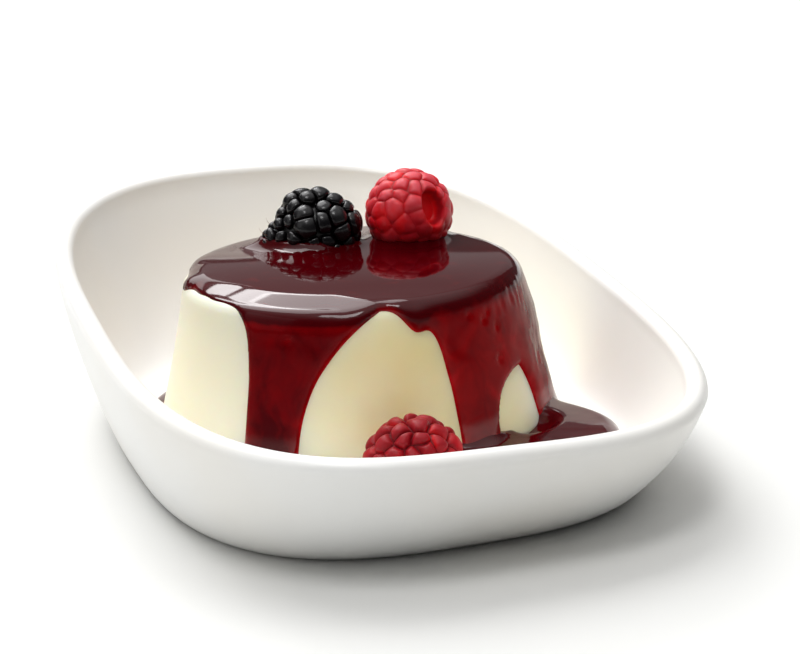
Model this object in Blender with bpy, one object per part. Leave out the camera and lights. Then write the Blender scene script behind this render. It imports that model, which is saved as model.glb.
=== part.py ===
"""Panna cotta with berry sauce, a dark berry and two raspberries, in a white porcelain bowl.

Sizes are in millimetres until the meshes are made, and each mesh is scaled to metres. +Z is up,
the bowl stands on Z = 0, and the origin is under the middle of its rim. +Y runs to the back, where
the rim is highest. Each of the seven pieces is one closed solid and one object.
"""

import math
from dataclasses import dataclass

import bmesh
import bpy
from mathutils import Matrix, Vector

METRES = 0.001
GAP = 0.3  # kept between two pieces that touch

# Bowl: a rounded rectangle whose rim rises towards the back.
RIM_HALF_SIZES = (53.5, 82.0)  # to the middle of the lip
RIM_POWER = 2.95  # of the superellipse: 2 is an ellipse, 4 is nearly a rectangle
RIM_HEIGHT = 31.2  # of the middle of the lip, over the bowl's centre
RIM_RISE = 0.105  # of the rim towards the back, for each millimetre
RIM_LEAN = -0.03  # of the rim towards the right
RIM_SAG = 2.6  # of the rim at the middle of its long sides
LIP_RADIUS = 2.05
BASE_HALF_SIZES = (47.0, 61.5)
BASE_POWER = 2.9
BASE_CENTRE_Y = -2.0
WALL_BULGE = 0.5  # how much steeper the wall is at the lip than at the base
WALL_THICKNESS = 3.9
FLOOR_TOP = 5.6
FLOOR_INSET = 6.0  # from the base's outline to the flat floor
FILLET_REACH = 5.2  # from the flat floor's edge to where the floor's line meets the wall's
FILLET_HEIGHT = 5.0  # over the floor, of the wall's lowest straight stretch
FOOT_ROUNDING = 1.2
FOOT_WIDTH = 6.0
FOOT_RECESS = 0.9
BOWL_COLUMNS = 52
CORNER_CROWDING = 0.8  # 1 spaces the columns evenly, and less crowds them at the corners
WALL_STEPS = 6
LIP_STEPS = 5
INNER_STEPS = 6

# Panna cotta: a turned frustum with a rounded top edge and a slightly hollow side.
DESSERT_CENTRE = (-0.3, 2.8)
DESSERT_BOTTOM = FLOOR_TOP + GAP
DESSERT_TOP = 35.0
DESSERT_BOTTOM_RADIUS = 39.6
DESSERT_TOP_RADIUS = 33.6
DESSERT_EDGE_RADIUS = 2.2
DESSERT_FOOT_ROUNDING = 0.8
SIDE_HOLLOW = 0.35
SIDE_STEPS = 4
EDGE_STEPS = 4
DESSERT_COLUMNS = 52

# Sauce: a skin over the top that runs down the side, and a pool on the bowl's floor.
COAT_GAP = 0.4  # wider than the other gaps, because the skin's facets cross the rounded edge
COAT_THICKNESS = 1.0
COAT_MENISCUS = 3.2  # over this distance the skin thins out to its edge
COAT_EDGE_THICKNESS = 0.25
COAT_TOP_ROWS = (0.45, 0.85, 1.0)  # shares of the flat top's radius
COAT_SHOULDER_ROWS = 3
COAT_SHOULDER_SHARE = 0.6  # most that the shoulder's rows take of what runs over the edge
COAT_SIDE_ROWS = (0.35, 0.7, 0.93, 1.0)
EDGE_SHARES = (0.55, 0.78, 0.9, 0.3, 0.96)  # of an arch's height, at which it is sampled
LEAST_SPACING = 0.7  # degrees between two columns
WIDEST_SPACING = 7.5
POOL_TOP = 7.4
POOL_BOTTOM = FLOOR_TOP + GAP
POOL_START, POOL_END = 104.0, 352.0  # azimuths
POOL_REACH = 41.3  # from the panna cotta's axis, where the sauce has not spread
POOL_LIMITS = ((40.6, 55.0), (42.6, 56.8), (44.4, 58.8))  # half sizes at its foot, middle and top
POOL_DIP = (313.0, 13.0, 1.2)  # azimuth, half width in degrees, depth
POOL_STATIONS = 46
POOL_LIP_RISES = (0.55, 1.0)  # of the rounded edge's middle and top, over the pool's underside
POOL_LIP_DEPTHS = (0.3, 0.2, 1.0)  # of its foot, its top and the flat pool, inside the reach
POOL_TIP = (1.5, 0.8, 0.4)  # degrees past the end, distance from the foot, height of a tip
LEAST_POOL = 0.35  # the least width of the pool's foot

# Berries.
BERRY_DETAIL = 4  # icosphere subdivisions
GOLDEN_ANGLE = math.radians(137.508)
DRUPELET_SPREAD = 2.3  # the angle that one drupelet covers, times the square root of their number
PIT_MOUTH = 0.86  # the share of the berry's half length at which its hollow opens


@dataclass(frozen=True)
class Window:
    """A bare arch in the sauce, in degrees of azimuth about the panna cotta's axis."""

    left: float
    right: float
    crest: float
    top: float
    powers: tuple = (4.0, 4.0)  # of the left and right halves: higher is squarer
    fullness: float = 2.8


@dataclass(frozen=True)
class Lobe:
    """A short tongue of sauce that hangs into a window."""

    azimuth: float
    half_width: float
    drop: float


@dataclass(frozen=True)
class Berry:
    """A berry of round drupelets set in a spiral about its own axis."""

    name: str
    centre: tuple
    half_sizes: tuple  # along the berry's axis, and across it
    axis: tuple
    drupelets: int
    relief: float  # the depth of the clefts between the drupelets
    seat: float  # the height at which what it sinks in cuts it off
    taper: float = 0.0  # how much narrower the end at the axis's head is
    pit: float = 0.0  # the depth of the hollow at the axis's head


WINDOWS = (
    Window(left=130.0, right=219.6, crest=190.0, top=34.8, powers=(6.0, 9.5), fullness=3.3),
    Window(left=236.4, right=283.7, crest=262.5, top=34.8, powers=(1.25, 4.6), fullness=2.3),
    Window(left=299.3, right=322.6, crest=318.0, top=18.2, powers=(2.0, 1.4), fullness=2.3),
    Window(left=350.0, right=468.0, crest=410.0, top=34.0, powers=(5.0, 5.0), fullness=3.2),
)
LOBES = (
    Lobe(azimuth=172.0, half_width=5.0, drop=1.2),
    Lobe(azimuth=273.3, half_width=4.8, drop=3.7),
    Lobe(azimuth=384.0, half_width=6.0, drop=9.0),
    Lobe(azimuth=427.0, half_width=7.0, drop=15.0),
)
POOL_SPREADS = (  # azimuth, half width in degrees, extra reach
    (307.5, 19.5, 26.0),
    (280.0, 12.0, 3.0),
    (227.0, 14.0, 4.0),
    (148.0, 16.0, 1.2),
)
BERRIES = (
    Berry("dark_berry", (-2.9, 20.8, 39.4), (11.0, 9.2), (-0.92, 0.30, -0.25), 44, 0.15, 36.75,
          taper=0.38),
    Berry("raspberry_top", (17.6, 17.6, 41.8), (9.1, 9.1), (0.66, -0.62, 0.42), 62, 0.10, 36.75,
          pit=6.5),
    Berry("raspberry_front", (-5.5, -48.4, 12.2), (8.0, 9.1), (-0.2, -0.35, 0.9), 62, 0.10,
          FLOOR_TOP + GAP, taper=0.16),
)


def clear_scene():
    """Remove whatever the file holds."""
    for obj in list(bpy.data.objects):
        bpy.data.objects.remove(obj, do_unlink=True)


def make_material(name, colour, roughness, metallic=0.0):
    """Make a Principled material."""
    material = bpy.data.materials.new(name)
    material.use_nodes = True
    shader = material.node_tree.nodes["Principled BSDF"]
    shader.inputs["Base Color"].default_value = (*colour, 1.0)
    shader.inputs["Roughness"].default_value = roughness
    shader.inputs["Metallic"].default_value = metallic
    return material


def add_object(name, bm, material):
    """Turn a bmesh in millimetres into an object in metres."""
    bmesh.ops.scale(bm, vec=(METRES, METRES, METRES), verts=bm.verts)
    bmesh.ops.recalc_face_normals(bm, faces=bm.faces)
    mesh = bpy.data.meshes.new(name)
    bm.to_mesh(mesh)
    bm.free()
    mesh.shade_smooth()
    mesh.materials.append(material)
    obj = bpy.data.objects.new(name, mesh)
    bpy.context.scene.collection.objects.link(obj)
    return obj


def loft(rings, first_tip=None, last_tip=None):
    """Skin closed rings of equally many points, ending in two tips, or join the last to the first."""
    bm = bmesh.new()
    loops = [[bm.verts.new(point) for point in ring] for ring in rings]
    if first_tip is None:
        loops.append(loops[0])
    for lower, upper in zip(loops, loops[1:]):
        for index in range(len(lower)):
            after = (index + 1) % len(lower)
            bm.faces.new((lower[index], lower[after], upper[after], upper[index]))
    for tip, loop in ((first_tip, loops[0]), (last_tip, loops[-1])):
        if tip is not None:
            top = bm.verts.new(tip)
            for index, vert in enumerate(loop):
                bm.faces.new((vert, loop[(index + 1) % len(loop)], top))
    return bm


def superellipse(half_sizes, power, angle):
    """The point of a superellipse in the direction of an angle, and its outward normal."""
    cosine, sine = math.cos(angle), math.sin(angle)
    half_x, half_y = half_sizes
    reach = (abs(cosine / half_x) ** power + abs(sine / half_y) ** power) ** (-1 / power)
    point = Vector((reach * cosine, reach * sine, 0.0))
    normal = Vector((
        math.copysign(abs(point.x / half_x) ** (power - 1) / half_x, cosine),
        math.copysign(abs(point.y / half_y) ** (power - 1) / half_y, sine),
        0.0,
    ))
    return point, normal.normalized()


def bezier(points, share):
    """The point of a cubic Bezier curve."""
    rest = 1.0 - share
    weights = (rest**3, 3 * rest**2 * share, 3 * rest * share**2, share**3)
    return sum((point * weight for point, weight in zip(points, weights)), Vector((0, 0, 0)))


def outer_wall(base, outer, share):
    """The wall's outer point at a share of its height."""
    point = base.lerp(outer, share + WALL_BULGE * share * (1 - share))
    point.z = outer.z * share
    return point


def bowl_column(angle):
    """The bowl's section at one angle, from the middle of its foot to the middle of its floor."""
    rim, rim_normal = superellipse(RIM_HALF_SIZES, RIM_POWER, angle)
    sag = RIM_SAG * (rim.x / RIM_HALF_SIZES[0]) ** 2
    rim.z = RIM_HEIGHT + RIM_RISE * rim.y + RIM_LEAN * rim.x - sag
    base, base_normal = superellipse(BASE_HALF_SIZES, BASE_POWER, angle)
    base.y += BASE_CENTRE_Y
    up = Vector((0.0, 0.0, 1.0))

    column = [
        base - base_normal * (FOOT_ROUNDING + FOOT_WIDTH + FOOT_RECESS) + up * FOOT_RECESS,
        base - base_normal * (FOOT_ROUNDING + FOOT_WIDTH),
        base - base_normal * FOOT_ROUNDING,
        base + (up - base_normal) * FOOT_ROUNDING * (1 - math.sqrt(0.5)),
    ]
    outer = rim + rim_normal * LIP_RADIUS
    column += [outer_wall(base, outer, step / WALL_STEPS) for step in range(1, WALL_STEPS + 1)]
    for step in range(1, LIP_STEPS):
        turn = math.pi * step / LIP_STEPS
        column.append(rim + rim_normal * LIP_RADIUS * math.cos(turn) + up * LIP_RADIUS * math.sin(turn))

    inner = rim - rim_normal * LIP_RADIUS
    floor = base - base_normal * FLOOR_INSET + up * FLOOR_TOP
    foot_of_wall = outer_wall(base, outer, (FLOOR_TOP + FILLET_HEIGHT) / outer.z)
    foot_of_wall -= base_normal * WALL_THICKNESS
    curve = (inner, foot_of_wall, floor + base_normal * FILLET_REACH, floor)
    column += [bezier(curve, step / INNER_STEPS) for step in range(INNER_STEPS + 1)]
    return column


def column_angles():
    """Angles of the bowl's columns, closest together at its corners."""
    angles = []
    for index in range(BOWL_COLUMNS):
        turn = 2 * math.pi * index / BOWL_COLUMNS
        across, along = (math.copysign(abs(value) ** CORNER_CROWDING, value)
                         for value in (math.cos(turn), math.sin(turn)))
        angles.append(math.atan2(along * RIM_HALF_SIZES[1], across * RIM_HALF_SIZES[0]))
    return angles


def build_bowl():
    """The bowl, as rings about its upright axis."""
    columns = [bowl_column(angle) for angle in column_angles()]
    rings = list(zip(*columns))
    under = (0.0, BASE_CENTRE_Y, FOOT_RECESS)
    floor = (0.0, BASE_CENTRE_Y, FLOOR_TOP)
    porcelain = make_material("white_porcelain", (0.86, 0.86, 0.84), 0.12)
    return add_object("bowl", loft(rings, under, floor), porcelain)


def side_radius(height):
    """The panna cotta's radius at a height on its side."""
    share = (height - DESSERT_BOTTOM) / (DESSERT_TOP - DESSERT_EDGE_RADIUS - DESSERT_BOTTOM)
    radius = DESSERT_BOTTOM_RADIUS + (DESSERT_TOP_RADIUS - DESSERT_BOTTOM_RADIUS) * share
    return radius - 4 * SIDE_HOLLOW * share * (1 - share)


def dessert_profile():
    """The panna cotta's outline (radius, height), from the middle of its top to its foot."""
    centre_radius = DESSERT_TOP_RADIUS - DESSERT_EDGE_RADIUS
    edge_height = DESSERT_TOP - DESSERT_EDGE_RADIUS
    profile = [(0.0, DESSERT_TOP)]
    for step in range(EDGE_STEPS + 1):
        turn = 0.5 * math.pi * step / EDGE_STEPS
        profile.append((
            centre_radius + DESSERT_EDGE_RADIUS * math.sin(turn),
            edge_height + DESSERT_EDGE_RADIUS * math.cos(turn),
        ))
    foot = DESSERT_BOTTOM + DESSERT_FOOT_ROUNDING
    for step in range(1, SIDE_STEPS + 1):
        height = edge_height + (foot - edge_height) * step / SIDE_STEPS
        profile.append((side_radius(height), height))
    return profile


def build_dessert():
    """The panna cotta, turned about its axis."""
    profile = dessert_profile()
    profile.append((DESSERT_BOTTOM_RADIUS - DESSERT_FOOT_ROUNDING, DESSERT_BOTTOM))
    profile.append((0.0, DESSERT_BOTTOM))
    bm = bmesh.new()
    verts = [bm.verts.new((radius, 0.0, height)) for radius, height in profile]
    edges = [bm.edges.new(pair) for pair in zip(verts, verts[1:])]
    bmesh.ops.spin(bm, geom=verts + edges, cent=(0, 0, 0), axis=(0, 0, 1), dvec=(0, 0, 0),
                   angle=2 * math.pi, steps=DESSERT_COLUMNS, use_merge=True)
    bmesh.ops.remove_doubles(bm, verts=bm.verts, dist=0.001)
    bmesh.ops.translate(bm, verts=bm.verts, vec=(*DESSERT_CENTRE, 0.0))
    cream = make_material("cooked_cream", (0.86, 0.80, 0.60), 0.35)
    return add_object("panna_cotta", bm, cream)


def window_edge(window, azimuth):
    """The height of a window's arch at an azimuth."""
    if azimuth < window.crest:
        away, power = (window.crest - azimuth) / (window.crest - window.left), window.powers[0]
    else:
        away, power = (azimuth - window.crest) / (window.right - window.crest), window.powers[1]
    foot = POOL_TOP + GAP
    height = foot + (window.top - foot) * max(0.0, 1 - away**power) ** (1 / window.fullness)
    for lobe in LOBES:
        height -= lobe.drop * math.exp(-(((azimuth - lobe.azimuth) / lobe.half_width) ** 2))
    return max(height, foot)


def coat_azimuths():
    """Azimuths that follow the sauce's edge, close together where the edge is steep."""
    azimuths = [end for window in WINDOWS for end in (window.left, window.right, window.crest)]
    azimuths += [lobe.azimuth + lobe.half_width * share
                 for lobe in LOBES for share in (0, -0.6, 0.6, -1.3, 1.3)]
    for share in EDGE_SHARES:
        for window in WINDOWS:
            for end, power in zip((window.left, window.right), window.powers):
                away = (1 - share**window.fullness) ** (1 / power)
                azimuths.append(window.crest + (end - window.crest) * away)
    between = [WIDEST_SPACING * index for index in range(round(360 / WIDEST_SPACING))]
    first = WINDOWS[0].left
    spaced = []
    for wanted, spacing in ((azimuths, LEAST_SPACING), (between, WIDEST_SPACING / 2)):
        for azimuth in wanted:
            azimuth = (azimuth - first) % 360.0 + first
            apart = (abs(azimuth - other) for other in spaced)
            if all(min(angle, 360 - angle) > spacing for angle in apart):
                spaced.append(azimuth)
    return sorted(spaced)


def coat_edge(azimuth):
    """The height at which the sauce ends: at a window's arch, or just over the pool."""
    for window in WINDOWS:
        if window.left < azimuth < window.right:
            return window_edge(window, azimuth)
    return POOL_TOP + GAP


def point_along(profile, distance):
    """The point and outward normal of a profile at a distance along it."""
    for (x0, z0), (x1, z1) in zip(profile, profile[1:]):
        length = math.hypot(x1 - x0, z1 - z0)
        if distance <= length or (x1, z1) == profile[-1]:
            share = distance / length
            point = Vector((x0 + (x1 - x0) * share, z0 + (z1 - z0) * share))
            return point, Vector((z0 - z1, x1 - x0)) / length
        distance -= length
    raise ValueError("the distance is beyond the profile")


def length_to(profile, height):
    """The distance along a profile to where it falls to a height."""
    total = 0.0
    for (x0, z0), (x1, z1) in zip(profile, profile[1:]):
        length = math.hypot(x1 - x0, z1 - z0)
        if z1 < height <= z0 and z0 > z1:
            return total + length * (z0 - height) / (z0 - z1)
        total += length
    return total


def coat_columns():
    """The sauce skin's inner and outer columns, from the middle of the top to its edge."""
    profile = dessert_profile()
    shoulder = DESSERT_TOP_RADIUS - DESSERT_EDGE_RADIUS
    inner_columns, outer_columns = [], []
    for azimuth in coat_azimuths():
        edge = length_to(profile, coat_edge(azimuth))
        bend = min(0.5 * math.pi * DESSERT_EDGE_RADIUS, COAT_SHOULDER_SHARE * (edge - shoulder))
        side = edge - shoulder - bend
        distances = [shoulder * row for row in COAT_TOP_ROWS]
        distances += [shoulder + bend * row / COAT_SHOULDER_ROWS
                      for row in range(1, COAT_SHOULDER_ROWS + 1)]
        distances += [shoulder + bend + side * row for row in COAT_SIDE_ROWS]
        turn = Matrix.Rotation(math.radians(azimuth), 3, "Z")
        inner, outer = [], []
        for distance in distances:
            (radius, height), normal = point_along(profile, distance)
            left = min((edge - distance) / COAT_MENISCUS, 1.0)
            thickness = COAT_THICKNESS * math.sqrt(1 - (1 - left) ** 2)
            far_side = COAT_GAP + max(thickness, COAT_EDGE_THICKNESS)
            for offset, column in ((COAT_GAP, inner), (far_side, outer)):
                spot = Vector((radius + normal.x * offset, 0.0, height + normal.y * offset))
                column.append(turn @ spot + Vector((*DESSERT_CENTRE, 0.0)))
        inner_columns.append(inner)
        outer_columns.append(outer)
    return inner_columns, outer_columns


def build_coat(sauce):
    """The sauce over the top and down the side."""
    inner, outer = coat_columns()
    rings = list(zip(*outer)) + list(zip(*inner))[::-1]
    upper = (*DESSERT_CENTRE, DESSERT_TOP + COAT_GAP + COAT_THICKNESS)
    lower = (*DESSERT_CENTRE, DESSERT_TOP + COAT_GAP)
    return add_object("sauce_coat", loft(rings, upper, lower), sauce)


def bump(azimuth, centre, half_width):
    """A smooth bump about an azimuth, 1 at its middle, with a broad back and steep sides."""
    return math.exp(-(((azimuth - centre) / half_width) ** 4))


def limited(azimuth, reach, half_sizes):
    """A reach from the panna cotta's axis, shortened to stay inside the bowl's wall."""
    turn = math.radians(azimuth)
    while True:
        x = DESSERT_CENTRE[0] + reach * math.cos(turn)
        y = DESSERT_CENTRE[1] + reach * math.sin(turn) - BASE_CENTRE_Y
        if abs(x / half_sizes[0]) ** BASE_POWER + abs(y / half_sizes[1]) ** BASE_POWER <= 1.0:
            return reach
        reach -= 0.1


def pool_section(azimuth):
    """The pool's section at an azimuth, as (radius, height)."""
    reach = POOL_REACH + sum(
        extra * bump(azimuth, centre, half_width) for centre, half_width, extra in POOL_SPREADS
    )
    foot, middle, rim = (limited(azimuth, reach, limit) for limit in POOL_LIMITS)
    wall_low = side_radius(POOL_BOTTOM) + GAP
    wall_high = side_radius(POOL_TOP) + GAP
    dip_centre, dip_width, dip_depth = POOL_DIP
    inner_top = POOL_TOP - dip_depth * bump(azimuth, dip_centre, dip_width)
    foot_depth, top_depth, flat_depth = POOL_LIP_DEPTHS
    return (
        (wall_low, POOL_BOTTOM),
        (max(foot - foot_depth, wall_low + LEAST_POOL), POOL_BOTTOM),
        (middle, POOL_BOTTOM + POOL_LIP_RISES[0]),
        (min(rim, reach - top_depth), POOL_BOTTOM + POOL_LIP_RISES[1]),
        (max(min(rim, reach) - flat_depth, wall_high + LEAST_POOL), POOL_TOP),
        (wall_high, inner_top),
    )


def pool_point(azimuth, radius, height):
    """A point at an azimuth and radius about the panna cotta's axis."""
    turn = math.radians(azimuth)
    x, y = DESSERT_CENTRE
    return Vector((x + radius * math.cos(turn), y + radius * math.sin(turn), height))


def build_pool(sauce):
    """The sauce on the bowl's floor, round the front of the panna cotta's foot."""
    sections = []
    for index in range(POOL_STATIONS):
        azimuth = POOL_START + (POOL_END - POOL_START) * index / (POOL_STATIONS - 1)
        sections.append([pool_point(azimuth, *point) for point in pool_section(azimuth)])
    past_end, from_foot, tip_height = POOL_TIP
    radius = side_radius(POOL_BOTTOM) + from_foot
    first_tip = pool_point(POOL_START - past_end, radius, POOL_BOTTOM + tip_height)
    last_tip = pool_point(POOL_END + past_end, radius, POOL_BOTTOM + tip_height)
    return add_object("sauce_pool", loft(sections, first_tip, last_tip), sauce)


def spiral_directions(count):
    """Directions spread evenly over a sphere in a spiral about X."""
    directions = []
    for index in range(count):
        along = 1 - 2 * (index + 0.5) / count
        across = math.sqrt(1 - along * along)
        turn = index * GOLDEN_ANGLE
        directions.append(Vector((along, across * math.cos(turn), across * math.sin(turn))))
    return directions


def drupelet_height(direction, drupelets, spread):
    """0 in a cleft between drupelets and 1 on the middle of one."""
    nearest = max(direction.dot(drupelet) for drupelet in drupelets)
    apart = math.acos(min(nearest, 1.0)) / spread
    return math.sqrt(max(0.0, 1.0 - apart * apart))


def build_berry(berry, material):
    """One berry: a sphere stretched to the berry's form, with round drupelets and a flat seat."""
    bm = bmesh.new()
    bmesh.ops.create_icosphere(bm, subdivisions=BERRY_DETAIL, radius=1.0)
    drupelets = spiral_directions(berry.drupelets)
    spread = DRUPELET_SPREAD / math.sqrt(berry.drupelets)
    length, breadth = berry.half_sizes
    for vert in bm.verts:
        direction = vert.co.normalized()
        swell = 1 - berry.relief * (1 - drupelet_height(direction, drupelets, spread))
        width = breadth * (1 - berry.taper * max(direction.x, 0.0) ** 2)
        vert.co = Vector((length * direction.x, width * direction.y, width * direction.z)) * swell
        inside = max(0.0, (direction.x - PIT_MOUTH) / (1 - PIT_MOUTH))
        vert.co.x -= berry.pit * math.sqrt(inside)
    across = Vector(berry.axis).to_track_quat("X", "Z").to_matrix()
    bmesh.ops.rotate(bm, cent=(0, 0, 0), matrix=across, verts=bm.verts)
    bmesh.ops.translate(bm, verts=bm.verts, vec=berry.centre)
    cut = bmesh.ops.bisect_plane(bm, geom=list(bm.verts) + list(bm.edges) + list(bm.faces), dist=0.001,
                                 plane_co=(0, 0, berry.seat), plane_no=(0, 0, -1), clear_outer=True)
    edges = [item for item in cut["geom_cut"] if isinstance(item, bmesh.types.BMEdge)]
    if edges:
        bmesh.ops.edgeloop_fill(bm, edges=edges)
    return add_object(berry.name, bm, material)


def main():
    """Build the seven pieces."""
    clear_scene()
    build_bowl()
    build_dessert()
    sauce = make_material("berry_sauce", (0.16, 0.01, 0.015), 0.08)
    build_coat(sauce)
    build_pool(sauce)
    black = make_material("dark_berry_skin", (0.012, 0.010, 0.016), 0.3)
    red = make_material("raspberry_skin", (0.60, 0.03, 0.04), 0.4)
    for berry in BERRIES:
        build_berry(berry, black if berry.name == "dark_berry" else red)


main()
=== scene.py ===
"""The panna cotta, dressed: porcelain bowl, set cream, poured berry sauce and three berries.

Sizes are in millimetres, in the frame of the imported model, and each finished mesh is scaled to
metres. +Z is up, the bowl stands on Z = 0, and +Y runs to its back, where the rim is highest.
Azimuths are in degrees from +X towards +Y, about the panna cotta's own axis. A place on the
sauce is an azimuth with a second number: the distance along the cream's outline from the
middle of its top, or in the pool the radius.
"""

import logging
import math
import random
from collections.abc import Callable, Iterator, Sequence
from dataclasses import dataclass
from enum import Enum

import bmesh
import bpy
from mathutils import Matrix, Vector, noise
from mathutils.kdtree import KDTree


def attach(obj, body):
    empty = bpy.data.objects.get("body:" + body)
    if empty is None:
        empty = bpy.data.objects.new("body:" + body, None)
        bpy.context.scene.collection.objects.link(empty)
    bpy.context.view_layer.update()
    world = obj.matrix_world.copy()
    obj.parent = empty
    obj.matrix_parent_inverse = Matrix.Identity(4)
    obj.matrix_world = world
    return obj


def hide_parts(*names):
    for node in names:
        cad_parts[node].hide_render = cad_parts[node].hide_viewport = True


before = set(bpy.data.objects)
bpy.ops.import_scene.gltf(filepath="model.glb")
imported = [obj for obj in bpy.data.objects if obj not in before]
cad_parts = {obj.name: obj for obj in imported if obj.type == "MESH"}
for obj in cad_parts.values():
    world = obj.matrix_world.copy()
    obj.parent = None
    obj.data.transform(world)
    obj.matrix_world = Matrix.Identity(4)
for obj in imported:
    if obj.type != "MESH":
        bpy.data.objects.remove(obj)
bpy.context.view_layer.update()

Colour = tuple[float, float, float]
Pair = tuple[float, float]
Place = tuple[float, float]
LOG = logging.getLogger("panna_cotta")
METRES = 0.001
UP = Vector((0.0, 0.0, 1.0))
ACROSS = Vector((0.949, -0.314, 0.0))


def linear(red: int, green: int, blue: int) -> Colour:
    """Turn an 8-bit display colour into a shader's linear colour, by the sRGB curve."""
    shares = (value / 255 for value in (red, green, blue))
    return tuple(s / 12.92 if s <= 0.04045 else ((s + 0.055) / 1.055) ** 2.4 for s in shares)


def smoothstep(low: float, high: float, value: float) -> float:
    """Rise smoothly from 0 at low to 1 at high."""
    share = min(max((value - low) / (high - low), 0.0), 1.0)
    return share * share * (3 - 2 * share)


def plateau(value: float, centre: float, half_width: float) -> float:
    """A smooth bump about a centre, 1 at its middle, with a broad back and steep sides."""
    return math.exp(-(abs((value - centre) / half_width) ** 4))


def bell(*ratios: float) -> float:
    """A smooth bump, 1 where every ratio is 0 and next to nothing where one passes 2."""
    return math.exp(-sum(ratio**2 for ratio in ratios))


def rounded(share: float) -> float:
    """The height of a quarter circle at a share of the way in from its edge."""
    return math.sqrt(1 - (1 - share) ** 2)


def wrap(angle: float) -> float:
    """Bring an angle in degrees between -180 and 180."""
    return (angle + 180) % 360 - 180


def ripple(point: Vector, wavelength: float, salt: float = 0.0) -> float:
    """Smooth noise between about -1 and 1 at a point in millimetres."""
    return noise.noise(point / wavelength + Vector((salt, -salt, 0.5 * salt)))


def turned_point(azimuth: float, radius: float, height: float = 0.0,
                 centre: Pair = (0.0, 0.0)) -> Vector:
    """Find the point at an azimuth and a radius about an upright axis.

    Args:
        azimuth: in degrees.
        radius: from the axis.
        height: over the table.
        centre: where the axis stands.

    Returns:
        The point.
    """
    turn = math.radians(azimuth)
    east, north = math.cos(turn), math.sin(turn)
    return Vector((centre[0] + radius * east, centre[1] + radius * north, height))


def point_tree(points: Sequence[Vector]) -> KDTree:
    """Build a tree that finds the nearest of some points.

    Args:
        points: the points, which the tree numbers from 0.

    Returns:
        The tree.
    """
    tree = KDTree(len(points))
    for index, point in enumerate(points):
        tree.insert(point, index)
    tree.balance()
    return tree


# ---------------------------------------------------------------------------------------- shaders


class Number:
    """A number that varies over a surface: arithmetic on it adds Math nodes."""

    def __init__(self, sheet: "ShaderSheet", socket: bpy.types.NodeSocket) -> None:
        """Wrap a node's output socket."""
        self.sheet = sheet
        self.socket = socket

    def __add__(self, other: "Number | float") -> "Number":
        """Add."""
        return self.sheet.math("ADD", self, other)

    def __sub__(self, other: "Number | float") -> "Number":
        """Subtract."""
        return self.sheet.math("SUBTRACT", self, other)

    def __mul__(self, other: "Number | float") -> "Number":
        """Multiply."""
        return self.sheet.math("MULTIPLY", self, other)

    def __truediv__(self, other: "Number | float") -> "Number":
        """Divide."""
        return self.sheet.math("DIVIDE", self, other)

    def between(self, low: float, high: float) -> "Number":
        """Map 0 to low and 1 to high."""
        return self * (high - low) + low

    def about(self, middle: "Number | float", swing: float) -> "Number":
        """Map 0 to 1 to a full swing about a middle value."""
        return (self - 0.5) * swing + middle

    def stretch(self, low: float, high: float, soft: bool = True) -> "Number":
        """Map low to 0 and high to 1, and hold it there beyond them.

        Args:
            low: the value that becomes 0.
            high: the value that becomes 1.
            soft: whether the ends are eased.

        Returns:
            The mapped number.
        """
        settings = {"interpolation_type": "SMOOTHSTEP" if soft else "LINEAR"}
        sockets = {"Value": self, "From Min": low, "From Max": high}
        made = self.sheet.node("ShaderNodeMapRange", settings, sockets)
        return Number(self.sheet, made.outputs[0])


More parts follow.
